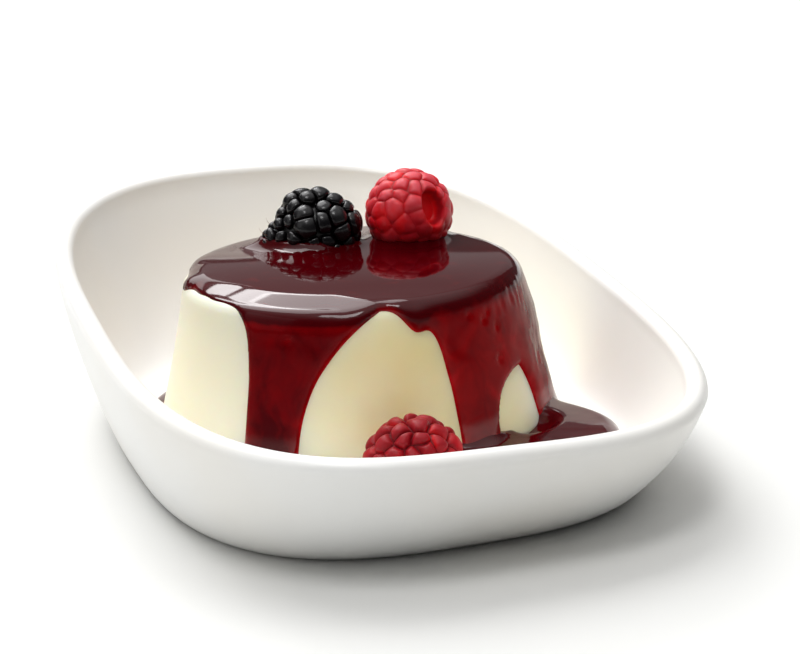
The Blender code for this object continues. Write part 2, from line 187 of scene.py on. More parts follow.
class ShaderSheet:
    """A material's or the world's node tree, to which finishes add their patterns."""

    def __init__(self, owner: bpy.types.Material | bpy.types.World) -> None:
        """Start from the owner's own shader.

        Args:
            owner: what the nodes belong to.
        """
        owner.use_nodes = True
        self.material = owner
        self.tree = owner.node_tree
        self.end = next(node for node in self.tree.nodes if node.type.startswith("OUTPUT"))
        self.surface = next(node for node in self.tree.nodes if node != self.end)
        self._place: bpy.types.NodeSocket | None = None

    @classmethod
    def named(cls, name: str) -> "ShaderSheet":
        """Start a new material with a Principled shader."""
        return cls(bpy.data.materials.new(name))

    def node(self, kind: str, settings: dict | None = None,
             sockets: dict | None = None) -> bpy.types.Node:
        """Add a node.

        Args:
            kind: the node's type.
            settings: its own properties, set first; a ramp's stops are given as "stops".
            sockets: values or links for its input sockets, by name or index.

        Returns:
            The new node.
        """
        made = self.tree.nodes.new(kind)
        for name, value in (settings or {}).items():
            if name == "stops":
                self._set_stops(made.color_ramp, value)
            else:
                setattr(made, name, value)
        for name, value in (sockets or {}).items():
            self.feed(made.inputs[name], value)
        return made

    def feed(self, socket: bpy.types.NodeSocket, value: object) -> None:
        """Link a socket to another, or give it a value of its own.

        Args:
            socket: the input socket.
            value: a number, a socket, a colour or a plain value.
        """
        if isinstance(value, Number):
            value = value.socket
        if isinstance(value, bpy.types.NodeSocket):
            self.tree.links.new(value, socket)
        elif isinstance(value, (tuple, list)) and socket.type == "RGBA":
            socket.default_value = (*value[:3], 1.0)
        else:
            socket.default_value = value

    @staticmethod
    def _set_stops(ramp: bpy.types.ColorRamp, stops: Sequence[tuple[float, Colour]]) -> None:
        """Give a ramp its stops.

        Args:
            ramp: the ramp.
            stops: positions with their colours.
        """
        while len(ramp.elements) < len(stops):
            ramp.elements.new(0.5)
        for element, (position, colour) in zip(ramp.elements, stops):
            element.position = position
            element.color = (*colour, 1.0)

    def math(self, operation: str, *values: "Number | float") -> Number:
        """Add a Math node."""
        made = self.node("ShaderNodeMath", {"operation": operation}, dict(enumerate(values)))
        return Number(self, made.outputs[0])

    def place(self) -> bpy.types.NodeSocket:
        """The position on the piece, in metres."""
        if self._place is None:
            self._place = self.node("ShaderNodeTexCoord").outputs["Object"]
        return self._place

    def mottle(self, size: float, detail: float = 2.0, pull: tuple = (1.0, 1.0, 1.0),
               warp: float = 0.0) -> Number:
        """Noise between 0 and 1.

        Args:
            size: the size of its patches, in millimetres.
            detail: how many finer octaves it has.
            pull: how much it is squeezed along X, Y and Z.
            warp: its distortion.

        Returns:
            The noise.
        """
        scale = {"Vector": self.place(), "Scale": pull}
        mapped = self.node("ShaderNodeMapping", None, scale).outputs["Vector"]
        sockets = {"Vector": mapped, "Scale": 1 / (size * METRES), "Detail": detail,
                   "Distortion": warp}
        return Number(self, self.node("ShaderNodeTexNoise", None, sockets).outputs[0])

    def along(self, axis: str) -> Number:
        """The way along an axis, in millimetres."""
        split = self.node("ShaderNodeSeparateXYZ", None, {0: self.place()})
        return Number(self, split.outputs[axis]) * (1 / METRES)

    def from_axis(self) -> Number:
        """The distance from the upright axis, in millimetres."""
        east, north = self.along("X"), self.along("Y")
        return self.math("SQRT", east * east + north * north)

    def painted(self, name: str) -> Number:
        """A number kept on the piece's points."""
        made = self.node("ShaderNodeAttribute", {"attribute_name": name})
        return Number(self, made.outputs["Fac"])

    def blend(self, share: Number, first: object, second: object) -> bpy.types.NodeSocket:
        """Mix two colours: the first where the share is 0, the second where it is 1."""
        made = self.node("ShaderNodeMix", {"data_type": "RGBA"}, {0: share, 6: first, 7: second})
        return made.outputs[2]

    def ramp(self, share: Number, stops: Sequence[tuple[float, Colour]]) -> bpy.types.NodeSocket:
        """Colour a number by a ramp."""
        made = self.node("ShaderNodeValToRGB", {"stops": stops}, {"Fac": share})
        return made.outputs["Color"]

    def relief(self, height: Number, depth: float) -> None:
        """Give the surface a fine relief.

        Args:
            height: the relief, from 0 to 1.
            depth: its full height, in millimetres.
        """
        sockets = {"Height": height, "Distance": depth * METRES, "Strength": 1.0}
        made = self.node("ShaderNodeBump", None, sockets)
        self.feed(self.surface.inputs["Normal"], made.outputs[0])

    def wear(self, **sockets: object) -> None:
        """Set or link the shader's own sockets, whose names are written with underscores."""
        for name, value in sockets.items():
            self.feed(self.surface.inputs[name.replace("_", " ")], value)

    def cross_fade(self, share: Number, **sockets: object) -> None:
        """Fade to a copy of the shader that differs in a few sockets.

        Args:
            share: 0 where the shader itself shows, and 1 where the copy does.
            sockets: the copy's own values, as for wear.
        """
        other = self.node(self.surface.bl_idname)
        for mine, copied in zip(self.surface.inputs, other.inputs):
            if mine.is_linked:
                self.feed(copied, mine.links[0].from_socket)
            elif mine.type != "SHADER":
                copied.default_value = mine.default_value
        for name, value in sockets.items():
            self.feed(other.inputs[name.replace("_", " ")], value)
        sides = {0: share, 1: self.surface.outputs[0], 2: other.outputs[0]}
        blend = self.node("ShaderNodeMixShader", None, sides)
        self.feed(self.end.inputs["Surface"], blend.outputs[0])


@dataclass(frozen=True)
class GlazedPorcelain:
    """White porcelain under a satin glaze."""

    white: Colour = linear(246, 246, 244)
    warm: Colour = linear(245, 243, 238)
    index: float = 1.5
    roughness: float = 0.32
    roughness_swing: float = 0.06
    cloud_size: float = 38.0
    cloud_ends: Pair = (0.3, 0.7)
    dimple_size: float = 9.0
    dimple_depth: float = 0.05

    def material(self) -> bpy.types.Material:
        """Make the material.

        Returns:
            The glaze.
        """
        sheet = ShaderSheet.named("white_porcelain")
        cloud = sheet.mottle(self.cloud_size)
        sheet.wear(Base_Color=sheet.blend(cloud.stretch(*self.cloud_ends), self.white, self.warm),
                   Roughness=cloud.about(self.roughness, self.roughness_swing), IOR=self.index)
        sheet.relief(sheet.mottle(self.dimple_size, detail=3.0), self.dimple_depth)
        return sheet.material


@dataclass(frozen=True)
class SetCream:
    """Cooked cream: dense, smooth and slightly see-through, with painted light: paler towards both its sides,
    which are lit, and a deeper yellow in the shaded middle.
    """

    pale: Colour = linear(252, 245, 222)
    deep: Colour = linear(243, 226, 168)
    index: float = 1.4
    roughness: float = 0.34
    roughness_swing: float = 0.1
    scatter_share: float = 0.5
    scatter_radius: Colour = (1.0, 0.62, 0.30)
    scatter_scale: float = 0.008
    cloud_size: float = 16.0
    cloud_ends: Pair = (0.2, 0.8)
    cloud_least: float = 0.55
    grain_size: float = 0.7
    west_light_fade: Pair = (-28.0, -6.0)
    east_light_fade: Pair = (32.0, 18.0)
    lit_side_least: float = 0.1
    cloud_relief: float = 0.7
    relief_depth: float = 0.05

    def material(self) -> bpy.types.Material:
        """Make the material.

        Returns:
            The cream's surface.
        """
        sheet = ShaderSheet.named("cooked_cream")
        cloud = sheet.mottle(self.cloud_size)
        grain = sheet.mottle(self.grain_size, detail=3.0)
        east = sheet.along("X")
        # Painted light: along X the colour turns pale towards the cream's lit left and right sides, and the
        # middle keeps the deeper yellow of shade.
        inner = east.stretch(*self.west_light_fade) * east.stretch(*self.east_light_fade)
        share = cloud.stretch(*self.cloud_ends).between(self.cloud_least, 1.0)
        share *= inner.between(self.lit_side_least, 1.0)
        sheet.wear(Base_Color=sheet.blend(share, self.pale, self.deep),
                   Roughness=grain.about(self.roughness, self.roughness_swing), IOR=self.index,
                   Subsurface_Weight=self.scatter_share, Subsurface_Radius=self.scatter_radius,
                   Subsurface_Scale=self.scatter_scale)
        height = cloud * self.cloud_relief + grain * (1 - self.cloud_relief)
        sheet.relief(height, self.relief_depth)
        return sheet.material


@dataclass(frozen=True)
class BerrySauce:
    """Glossy berry sauce: bright red where it is thin, nearly black where it is thick."""

    film: Colour = linear(172, 14, 22)
    thin: Colour = linear(136, 2, 6)
    full: Colour = linear(106, 0, 5)
    deep: Colour = linear(66, 0, 5)
    stops: tuple[float, ...] = (0.0, 0.22, 0.5, 0.8)
    index: float = 1.38
    roughness: float = 0.07
    full_depth: float = 1.6
    patch_size: float = 4.4
    patch_pull: Colour = (1.0, 1.0, 0.7)
    patch_warp: float = 0.8
    patch_swing: float = 0.75
    lump_size: float = 3.2
    lump_height: float = 0.05
    lump_levels: Pair = (35.6, 34.0)
    swelling: float = 0.003
    swelling_radius: float = 36.0
    side_gloss: float = 0.1
    side_roughness: float = 0.2
    side_levels: Pair = (35.4, 33.2)
    foot_levels: Pair = (11.0, 13.0)

    def material(self) -> bpy.types.Material:
        """Make the material: the sides, below the top and above the pool, shine less.

        Returns:
            The sauce's surface.
        """
        sheet = ShaderSheet.named("berry_sauce")
        patches = sheet.mottle(self.patch_size, 3.0, self.patch_pull, self.patch_warp)
        # The depth kept on the points also carries painted light: on the right-front side of the sauce over the
        # cream it is lowered, which paints that side a brighter red.
        shade = patches.about(sheet.painted("depth") / self.full_depth, self.patch_swing)
        colours = (self.film, self.thin, self.full, self.deep)
        sheet.wear(Base_Color=sheet.ramp(shade, tuple(zip(self.stops, colours))),
                   Roughness=self.roughness, IOR=self.index)
        level = sheet.along("Z")
        away = sheet.math("MINIMUM", sheet.from_axis(), self.swelling_radius)
        lumps = sheet.mottle(self.lump_size, detail=3.0) * level.stretch(*self.lump_levels)
        sheet.relief(lumps * self.lump_height + away * away * -self.swelling, 1.0)
        side = level.stretch(*self.side_levels) * level.stretch(*self.foot_levels)
        sheet.cross_fade(side, Specular_IOR_Level=self.side_gloss, Roughness=self.side_roughness)
        return sheet.material


class BerryKind(Enum):
    """The two kinds of berry, by the name of their skin's material."""

    DARK = "dark_berry_skin"
    RASPBERRY = "raspberry_skin"


@dataclass(frozen=True)
class BerrySkin:
    """The skin of a berry's drupelets, coloured by how near a point is to a crown: painted shade in the clefts
    between them, and on their tops the crown colour, partly their paler bloom and partly a painted highlight.
    """

    kind: BerryKind
    crown: Colour
    body: Colour
    cleft_shade: Colour
    roughness: float
    sheen: float
    subsurface: float
    gloss: float = 0.5
    thread: Colour = linear(150, 96, 80)
    hollow: Colour = linear(226, 6, 18)
    index: float = 1.42
    bloom_size: float = 1.6
    bloom_share: float = 0.8
    tone_share: float = 1.3
    dullness: float = 0.65
    glow_size: float = 4.5
    glow_ends: Pair = (0.45, 0.7)
    cleft_ends: Pair = (0.0, 0.45)
    crown_ends: Pair = (0.3, 1.0)
    hollow_ends: Pair = (-0.2, -0.9)
    thread_ends: Pair = (1.4, 1.6)
    roughness_swing: float = 0.2
    sheen_roughness: float = 0.4
    scatter_radius: Colour = (1.0, 0.25, 0.2)
    scatter_scale: float = 0.002
    relief_depth: float = 0.04

    def material(self) -> bpy.types.Material:
        """Make the material.

        Returns:
            The skin's surface.
        """
        sheet = ShaderSheet.named(self.kind.value)
        crown = sheet.painted("crown")
        bloom = sheet.mottle(self.bloom_size, detail=4.0)
        glow = sheet.mottle(self.glow_size)
        # Painted highlight: lit picks the tops near each crown where the bloom and the tone are high, and gives
        # them the crown colour, partly the real paler bloom.
        bright = bloom * self.bloom_share + sheet.painted("tone") * self.tone_share - self.dullness
        lit = (crown.stretch(*self.crown_ends) * bright).stretch(0.0, 1.0, soft=False)
        colour = sheet.blend(glow.stretch(*self.glow_ends), self.body, self.hollow)
        # Painted shade: far from any crown, in the creases between drupelets, the skin takes the darker cleft
        # colour.
        colour = sheet.blend(crown.stretch(*self.cleft_ends), self.cleft_shade, colour)
        colour = sheet.blend(lit, colour, self.crown)
        # Painted light: the stalk's hollow, where the crown number is below 0, takes the bright hollow colour
        # in place of its shade; the same red also mottles the body at random above.
        colour = sheet.blend(crown.stretch(*self.hollow_ends), colour, self.hollow)
        colour = sheet.blend(crown.stretch(*self.thread_ends), colour, self.thread)
        sheet.wear(Base_Color=colour, Specular_IOR_Level=self.gloss, IOR=self.index,
                   Roughness=bloom.about(self.roughness, self.roughness_swing),
                   Sheen_Weight=self.sheen, Sheen_Roughness=self.sheen_roughness,
                   Sheen_Tint=self.crown, Subsurface_Weight=self.subsurface,
                   Subsurface_Radius=self.scatter_radius, Subsurface_Scale=self.scatter_scale)
        sheet.relief(bloom, self.relief_depth)
        return sheet.material


# In each skin the first colour is the crown's, the drupelets' paler bloom with a painted highlight, and the
# third, the cleft's, is painted shade in the creases.
DARK_SKIN = BerrySkin(
    BerryKind.DARK, linear(30, 29, 31), linear(12, 10, 13), linear(5, 3, 4),
    roughness=0.24, sheen=0.0, subsurface=0.0, hollow=linear(16, 10, 12))
RED_SKIN = BerrySkin(
    BerryKind.RASPBERRY, linear(218, 84, 96), linear(196, 18, 34), linear(166, 6, 20),
    roughness=0.42, sheen=0.1, subsurface=0.7, gloss=0.36)
RIPE_SKIN = BerrySkin(
    BerryKind.RASPBERRY, linear(148, 34, 42), linear(132, 4, 16), linear(98, 0, 8),
    roughness=0.4, sheen=0.0, subsurface=0.5, gloss=0.2, hollow=linear(190, 2, 14))


# ----------------------------------------------------------------------------------------- meshes


class RingSkin:
    """A skin that grows ring by ring from a circle of columns about the upright axis."""

    def __init__(self, columns: int) -> None:
        """Start with one ring.

        Args:
            columns: how many points a ring has.
        """
        self.bm = bmesh.new()
        self.column = self.bm.verts.layers.int.new("column")
        self.row = self.bm.verts.layers.int.new("row")
        self.rows = 0
        self.ring = bmesh.ops.create_circle(self.bm, segments=columns, radius=1.0)["verts"]
        for vert in self.ring:
            turn = math.atan2(vert.co.y, vert.co.x) / math.tau
            vert[self.column] = round(turn * columns) % columns
        self.edges = list(self.bm.edges)

    def grow(self) -> None:
        """Extrude a new ring from the newest one."""
        grown = bmesh.ops.extrude_edge_only(self.bm, edges=self.edges)["geom"]
        self.ring = [item for item in grown if isinstance(item, bmesh.types.BMVert)]
        fresh = set(self.ring)
        self.edges = [item for item in grown
                      if isinstance(item, bmesh.types.BMEdge) and fresh.issuperset(item.verts)]
        self.rows += 1

    def lay_rings(self, rings: Sequence[Callable[[int], Vector]]) -> None:
        """Lay rings one after another.

        Args:
            rings: for each ring, where its point in a column lies.
        """
        for number, place in enumerate(rings):
            if number:
                self.grow()
            for vert in self.ring:
                vert.co = place(vert[self.column])
                vert[self.row] = self.rows

    def close(self, point: Vector) -> None:
        """Draw the newest ring together at a point."""
        self.grow()
        bmesh.ops.pointmerge(self.bm, verts=self.ring, merge_co=point)

    def cap(self) -> None:
        """Fill the first ring with one face."""
        first = [edge for edge in self.bm.edges
                 if edge.is_boundary and edge.verts[0][self.row] == edge.verts[1][self.row] == 0]
        bmesh.ops.edgeloop_fill(self.bm, edges=first)


def add_ball(bm: bmesh.types.BMesh, detail: int) -> list[bmesh.types.BMVert]:
    """Add a ball of radius 1 to a mesh."""
    return bmesh.ops.create_icosphere(bm, subdivisions=detail, radius=1.0)["verts"]


def place_mesh(bm: bmesh.types.BMesh, name: str, material: bpy.types.Material) -> bpy.types.Object:
    """Put a mesh into the scene.

    Args:
        bm: the mesh in metres, which is freed.
        name: the new object's name.
        material: its finish.

    Returns:
        The object.
    """
    mesh = bpy.data.meshes.new(name)
    bm.to_mesh(mesh)
    bm.free()
    mesh.materials.append(material)
    made = bpy.data.objects.new(name, mesh)
    bpy.context.scene.collection.objects.link(made)
    return made


def finish_piece(bm: bmesh.types.BMesh, name: str, material: bpy.types.Material, node: str) -> bpy.types.Object:
    """Turn a mesh in millimetres into a finished piece.

    Args:
        bm: the mesh, which is freed.
        name: the piece's name.
        material: its finish.
        node: the CAD node that it stands for.

    Returns:
        The piece.
    """
    bmesh.ops.recalc_face_normals(bm, faces=bm.faces)
    bmesh.ops.scale(bm, vec=(METRES,) * 3, verts=bm.verts)
    piece = place_mesh(bm, name, material)
    piece.data.shade_smooth()
    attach(piece, "root")
    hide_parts(node)
    piece.data.calc_loop_triangles()
    LOG.info("%s: %d triangles, in place of %s", name, len(piece.data.loop_triangles), node)
    return piece


def superellipse(half_sizes: Pair, power: float, angle: float) -> tuple[Vector, Vector]:
    """Find the point of a superellipse in a direction.

    Args:
        half_sizes: along X and Y.
        power: 2 for an ellipse, and more for a squarer form.
        angle: the direction, in radians from +X towards +Y.

    Returns:
        The point and its outward normal.
    """
    cosine, sine = math.cos(angle), math.sin(angle)
    half_x, half_y = half_sizes
    reach = (abs(cosine / half_x) ** power + abs(sine / half_y) ** power) ** (-1 / power)
    point = Vector((reach * cosine, reach * sine, 0.0))
    normal = Vector((
        math.copysign(abs(point.x / half_x) ** (power - 1) / half_x, cosine),
        math.copysign(abs(point.y / half_y) ** (power - 1) / half_y, sine),
        0.0,
    ))
    return point, normal.normalized()


@dataclass(frozen=True)
class Bowl:
    """A rounded rectangular bowl whose rim rises towards the back."""

    rim_half_sizes: Pair = (53.5, 82.0)
    rim_power: float = 2.95
    rim_height: float = 31.2
    rim_rise: float = 0.105
    rim_lean: float = -0.03
    rim_sag: float = 2.6
    lip_radius: float = 2.05
    base_half_sizes: Pair = (47.0, 61.5)
    base_power: float = 2.9
    base_centre_y: float = -2.0
    wall_bulge: float = 0.5
    wall_thickness: float = 3.9
    floor_top: float = 5.6
    floor_inset: float = 6.0
    floor_rings: Pair = (0.66, 0.33)
    fillet_reach: float = 5.2
    fillet_height: float = 5.0
    foot_rounding: float = 1.2
    foot_width: float = 6.0
    foot_ends: Pair = (0.4, 0.2)
    foot_pulls: Pair = (0.35, 0.225)
    wall_start: float = 1.6
    recess_height: float = 0.9
    recess_curve: tuple[Pair, ...] = ((2.0, 1.0), (0.9, 0.85), (0.25, 0.25))
    columns: int = 224
    crowding: float = 0.85
    foot_steps: int = 5
    wall_steps: int = 18
    lip_steps: int = 14
    inner_steps: int = 26

    def _wall(self, base: Vector, outer: Vector, share: float) -> Vector:
        """Find the wall's outer point.

        Args:
            base: the wall's foot.
            outer: its top.
            share: how far up the point is.

        Returns:
            The point.
        """
        point = base.lerp(outer, share + self.wall_bulge * share * (1 - share))
        point.z = outer.z * share
        return point

    def _foot(self, base: Vector, out: Vector, start: Vector) -> list[Vector]:
        """The foot's section at one angle.

        Args:
            base: the foot's edge, if it were sharp.
            out: the way out from it.
            start: where the wall starts.

        Returns:
            The points of the recess, the standing ring and its rounded edge.
        """
        edge, recess = self.foot_rounding, self.recess_height
        column = [base - out * (edge + self.foot_width + along * recess) + UP * recess * deep
                  for along, deep in self.recess_curve]
        column += [base - out * (edge + self.foot_width - self.foot_ends[0]),
                   base - out * (edge + self.foot_ends[1])]
        low, high = self.foot_pulls
        corner = (column[-1], base - out * low * edge, base + UP * high * edge, start)
        return column + [self._bezier(corner, step / self.foot_steps)
                         for step in range(1, self.foot_steps + 1)]

    def section(self, angle: float) -> list[Vector]:
        """The bowl's section at one angle.

        Args:
            angle: in radians, from +X towards +Y.

        Returns:
            The points from the recess under the foot, over the lip, to the edge of the floor.
        """
        rim, rim_out = superellipse(self.rim_half_sizes, self.rim_power, angle)
        sag = self.rim_sag * (rim.x / self.rim_half_sizes[0]) ** 2
        rim.z = self.rim_height + self.rim_rise * rim.y + self.rim_lean * rim.x - sag
        base, base_out = superellipse(self.base_half_sizes, self.base_power, angle)
        base.y += self.base_centre_y
        outer = rim + rim_out * self.lip_radius
        inner = rim - rim_out * self.lip_radius

        start = self._wall(base, outer, self.wall_start * self.foot_rounding / outer.z)
        column = self._foot(base, base_out, start)
        first = start.z / outer.z
        column += [self._wall(base, outer, first + (1 - first) * step / self.wall_steps)
                   for step in range(1, self.wall_steps + 1)]
        for step in range(1, self.lip_steps):
            turn = math.pi * step / self.lip_steps
            column.append(rim + (rim_out * math.cos(turn) + UP * math.sin(turn)) * self.lip_radius)
        floor = base - base_out * self.floor_inset + UP * self.floor_top
        foot_of_wall = self._wall(base, outer, (self.floor_top + self.fillet_height) / outer.z)
        foot_of_wall -= base_out * self.wall_thickness
        curve = (inner, foot_of_wall, floor + base_out * self.fillet_reach, floor)
        return column + [self._bezier(curve, step / self.inner_steps)
                         for step in range(self.inner_steps + 1)]

    @staticmethod
    def _bezier(points: Sequence[Vector], share: float) -> Vector:
        """Find a point of a cubic Bezier curve.

        Args:
            points: the curve's four control points.
            share: how far along it the point is.

        Returns:
            The point.
        """
        rest = 1.0 - share
        weights = (rest**3, 3 * rest**2 * share, 3 * rest * share**2, share**3)
        return sum((point * weight for point, weight in zip(points, weights)), Vector((0, 0, 0)))

    def _angle(self, column: int) -> float:
        """Find the angle of a column, as they crowd towards the corners.

        Args:
            column: the column's number.

        Returns:
            The angle, in radians.
        """
        turn = math.tau * column / self.columns
        across, along = (math.copysign(abs(value) ** self.crowding, value)
                         for value in (math.cos(turn), math.sin(turn)))
        return math.atan2(along * self.rim_half_sizes[1], across * self.rim_half_sizes[0])

    def build(self, finish: GlazedPorcelain) -> bpy.types.Object:
        """Make the bowl.

        Args:
            finish: its glaze.

        Returns:
            The piece.
        """
        sections = [self.section(self._angle(column)) for column in range(self.columns)]
        middle = Vector((0.0, self.base_centre_y, self.floor_top))
        rings = [lambda column, k=k: sections[column][k] for k in range(len(sections[0]))]
        rings += [lambda column, share=share: middle.lerp(sections[column][-1], share)
                  for share in self.floor_rings]
        skin = RingSkin(self.columns)
        skin.lay_rings(rings)
        skin.close(middle)
        skin.cap()
        return finish_piece(skin.bm, "bowl_glazed", finish.material(), "bowl")


@dataclass(frozen=True)
class CreamForm:
    """The unmoulded cream: a frustum with a rounded shoulder and a slightly hollow side."""

    centre: Pair = (-0.3, 2.8)
    top: float = 35.0
    foot: float = 5.55
    line_foot: float = 5.9
    line_top: float = 32.8
    foot_radius: float = 39.6
    top_radius: float = 33.6
    shoulder: float = 2.4
    shoulder_start: float = 31.2
    shoulder_fade: float = 6.0
    side_hollow: float = 0.35
    side_run: float = 0.976
    foot_rounding: float = 0.7
    unevenness: float = 0.12
    sway_wavelength: float = 17.0
    sway_levels: Pair = (6.0, 16.0)
    columns: int = 300
    top_stops: tuple[float, ...] = (0.6, 8.0, 16.0, 24.0, 29.0)
    shoulder_step: float = 0.42
    shoulder_rows: int = 10
    side_rows: int = 40
    foot_rows: int = 4

    def side_radius(self, height: float) -> float:
        """Find the radius on the side.

        Args:
            height: over the table.

        Returns:
            The radius.
        """
        share = (height - self.line_foot) / (self.line_top - self.line_foot)
        radius = self.foot_radius + (self.top_radius - self.foot_radius) * share
        return radius - 4 * self.side_hollow * share * (1 - share)

    def _shoulder_turn(self) -> float:
        """Find the angle through which the shoulder turns before it meets the side.

        Returns:
            The angle, in radians.
        """
        rise = self.line_top - self.line_foot
        lean = (self.foot_radius - self.top_radius - 4 * self.side_hollow) / rise
        return 0.5 * math.pi - math.atan(lean)

    def side_start(self) -> float:
        """The distance along the outline to the top of the side."""
        return self.shoulder_start + self.shoulder * self._shoulder_turn()

    def side_top(self) -> float:
        """The height of the top of the side."""
        return self.top - self.shoulder * (1 - math.cos(self._shoulder_turn()))

    def outline(self, distance: float) -> tuple[float, float, float, float]:
        """The outline at a distance from the middle of the top.

        Args:
            distance: measured along the outline.

        Returns:
            The radius and height of the point, and the radius and height of its outward normal.
        """
        if distance <= self.shoulder_start:
            return distance, self.top, 0.0, 1.0
        turn = (distance - self.shoulder_start) / self.shoulder
        if turn < self._shoulder_turn():
            return (self.shoulder_start + self.shoulder * math.sin(turn),
                    self.top - self.shoulder * (1 - math.cos(turn)), math.sin(turn), math.cos(turn))
        height = self.side_top() - (distance - self.side_start()) * self.side_run
        probe = 0.05
        slope = self.side_radius(height - probe) - self.side_radius(height + probe)
        length = math.hypot(slope, 2 * probe)
        drift = self.shoulder_start + self.shoulder * math.sin(self._shoulder_turn())
        drift -= self.side_radius(self.side_top())
        fade = max(0.0, 1 - (self.side_top() - height) / self.shoulder_fade)
        return (self.side_radius(height) + drift * fade, height,
                2 * probe / length, slope / length)

    def distance_at(self, height: float) -> float:
        """Find where the outline passes a height.

        Args:
            height: on the side or the shoulder.

        Returns:
            The distance along the outline.
        """
        if height < self.side_top():
            return self.side_start() + (self.side_top() - height) / self.side_run
        fall = min(max((self.top - height) / self.shoulder, 0.0), 1.0)
        return self.shoulder_start + self.shoulder * math.acos(1 - fall)

    def surface(self, azimuth: float, distance: float, lift: float = 0.0) -> Vector:
        """A point on the cream, or over it.

        Args:
            azimuth: in degrees.
            distance: from the middle of the top, along the outline.
            lift: how far the point lies over the surface.

        Returns:
            The point.
        """
        radius, height, out, up = self.outline(distance)
        turn = math.radians(azimuth)
        cosine, sine = math.cos(turn), math.sin(turn)
        point = Vector((self.centre[0] + radius * cosine, self.centre[1] + radius * sine, height))
        sway = self.unevenness * ripple(point, self.sway_wavelength, 3.1)
        sway *= smoothstep(*self.sway_levels, height)
        return point + Vector((out * cosine, out * sine, up)) * (lift + sway)

    def _foot_point(self, azimuth: float, end: float, turn: float) -> Vector:
        """Find a point of the foot's rounding.

        Args:
            azimuth: in degrees.
            end: the distance along the outline at which the rounding starts.
            turn: how far round it the point is, in radians.

        Returns:
            The point.
        """
        edge = self.surface(azimuth, end)
        inward = (Vector((*self.centre, edge.z)) - edge).normalized()
        step = inward * (1 - math.cos(turn)) - UP * math.sin(turn)
        return edge + step * self.foot_rounding

    def build(self, finish: SetCream) -> bpy.types.Object:
        """Make the cream.

        Args:
            finish: its surface.

        Returns:
            The piece.
        """
        end = self.distance_at(self.foot + self.foot_rounding)
        stops = [*self.top_stops, *(self.shoulder_start + self.shoulder_step * step
                                    for step in range(self.shoulder_rows))]
        start = stops[-1]
        stops += [start + (end - start) * step / self.side_rows
                  for step in range(1, self.side_rows + 1)]
        scale = 360 / self.columns
        rings = [lambda column, s=s: self.surface(column * scale, s) for s in stops]
        turns = [0.5 * math.pi * step / self.foot_rows for step in range(1, self.foot_rows + 1)]
        rings += [lambda column, t=t: self._foot_point(column * scale, end, t) for t in turns]
        skin = RingSkin(self.columns)
        skin.lay_rings(rings)
        skin.close(Vector((*self.centre, self.foot)))
        skin.cap()
        return finish_piece(skin.bm, "cream_body", finish.material(), "panna_cotta")


# ------------------------------------------------------------------------------------------ sauce


@dataclass(frozen=True)
class Window:
    """A bare arch in the sauce, in degrees of azimuth and millimetres of height."""

    left: float
    right: float
    crest: float
    top: float
    powers: Pair = (4.0, 4.0)
    fullness: float = 2.8
    foot: float = 7.7

    def away(self, azimuth: float) -> Pair:
        """Find how far an azimuth is from the crest.

        Args:
            azimuth: in degrees.

        Returns:
            The way there as a share of that side, and the side's power.
        """
        if azimuth < self.crest:
            return (self.crest - azimuth) / (self.crest - self.left), self.powers[0]
        return (azimuth - self.crest) / (self.right - self.crest), self.powers[1]

    def arch(self, azimuth: float) -> float:
        """Find the height of the arch.

        Args:
            azimuth: in degrees, inside the window.

        Returns:
            The height.
        """
        away, power = self.away(azimuth)
        share = max(0.0, 1 - min(away, 1.0) ** power) ** (1 / self.fullness)
        return self.foot + (self.top - self.foot) * share

    def azimuths(self, steps: int = 400) -> list[float]:
        """The azimuths from left to right at which the arch is drawn.

        Args:
            steps: how many even steps each side has in width, and again in height.

        Returns:
            The azimuths, the crest twice.
        """
        shares = [step / steps for step in range(steps + 1)]
        found = []
        for end, power in zip((self.left, self.right), self.powers):
            aways = set(shares) | {(1 - share**self.fullness) ** (1 / power) for share in shares}
            found += [self.crest + (end - self.crest) * away
                      for away in sorted(aways, reverse=end == self.left)]
        return found


@dataclass(frozen=True)
class Lobe:
    """A short tongue of sauce that hangs into a window, with a bead at its end."""

    azimuth: float
    half_width: float
    drop: float
    bead: float = 0.0
    top: float = 34.8
    bead_rise: float = 1.6
    bead_height: float = 1.7

    def droop(self, azimuth: float) -> float:
        """How far it lowers the window's arch at an azimuth."""
        return self.drop * bell((azimuth - self.azimuth) / self.half_width)

    def extra(self, azimuth: float, height: float) -> float:
        """Find what its bead adds to the sauce.

        Args:
            azimuth: in degrees.
            height: over the table.

        Returns:
            The added thickness.
        """
        end = self.top - self.drop + self.bead_rise
        aside = wrap(azimuth - self.azimuth) / self.half_width
        return self.bead * bell(aside, (height - end) / self.bead_height)


@dataclass(frozen=True)
class Rope:
    """A run of sauce that stands proud of the rest as it goes down the side."""

    azimuth: float
    half_width: float
    height: float
    start: float
    drift: float = 0.0
    fade: float = 12.0
    level: float = 20.0
    run: float = 14.0

    def extra(self, azimuth: float, height: float) -> float:
        """Find what it adds to the sauce, as it drifts on its way down.

        Args:
            azimuth: in degrees.
            height: over the table.

        Returns:
            The added thickness.
        """
        aside = wrap(azimuth - self.azimuth - self.drift * (self.level - height) / self.run)
        weight = bell(aside / self.half_width)
        return self.height * weight * smoothstep(self.start, self.start - self.fade, height)


@dataclass(frozen=True)
class Swelling:
    """A broad rise, or a pit, in the sauce on the side, in degrees and millimetres."""

    azimuth: float
    half_width: float
    height: float
    half_height: float
    depth: float

    def extra(self, azimuth: float, height: float) -> float:
        """What it adds to the thickness at a place."""
        aside = wrap(azimuth - self.azimuth) / self.half_width
        return self.depth * bell(aside, (height - self.height) / self.half_height)


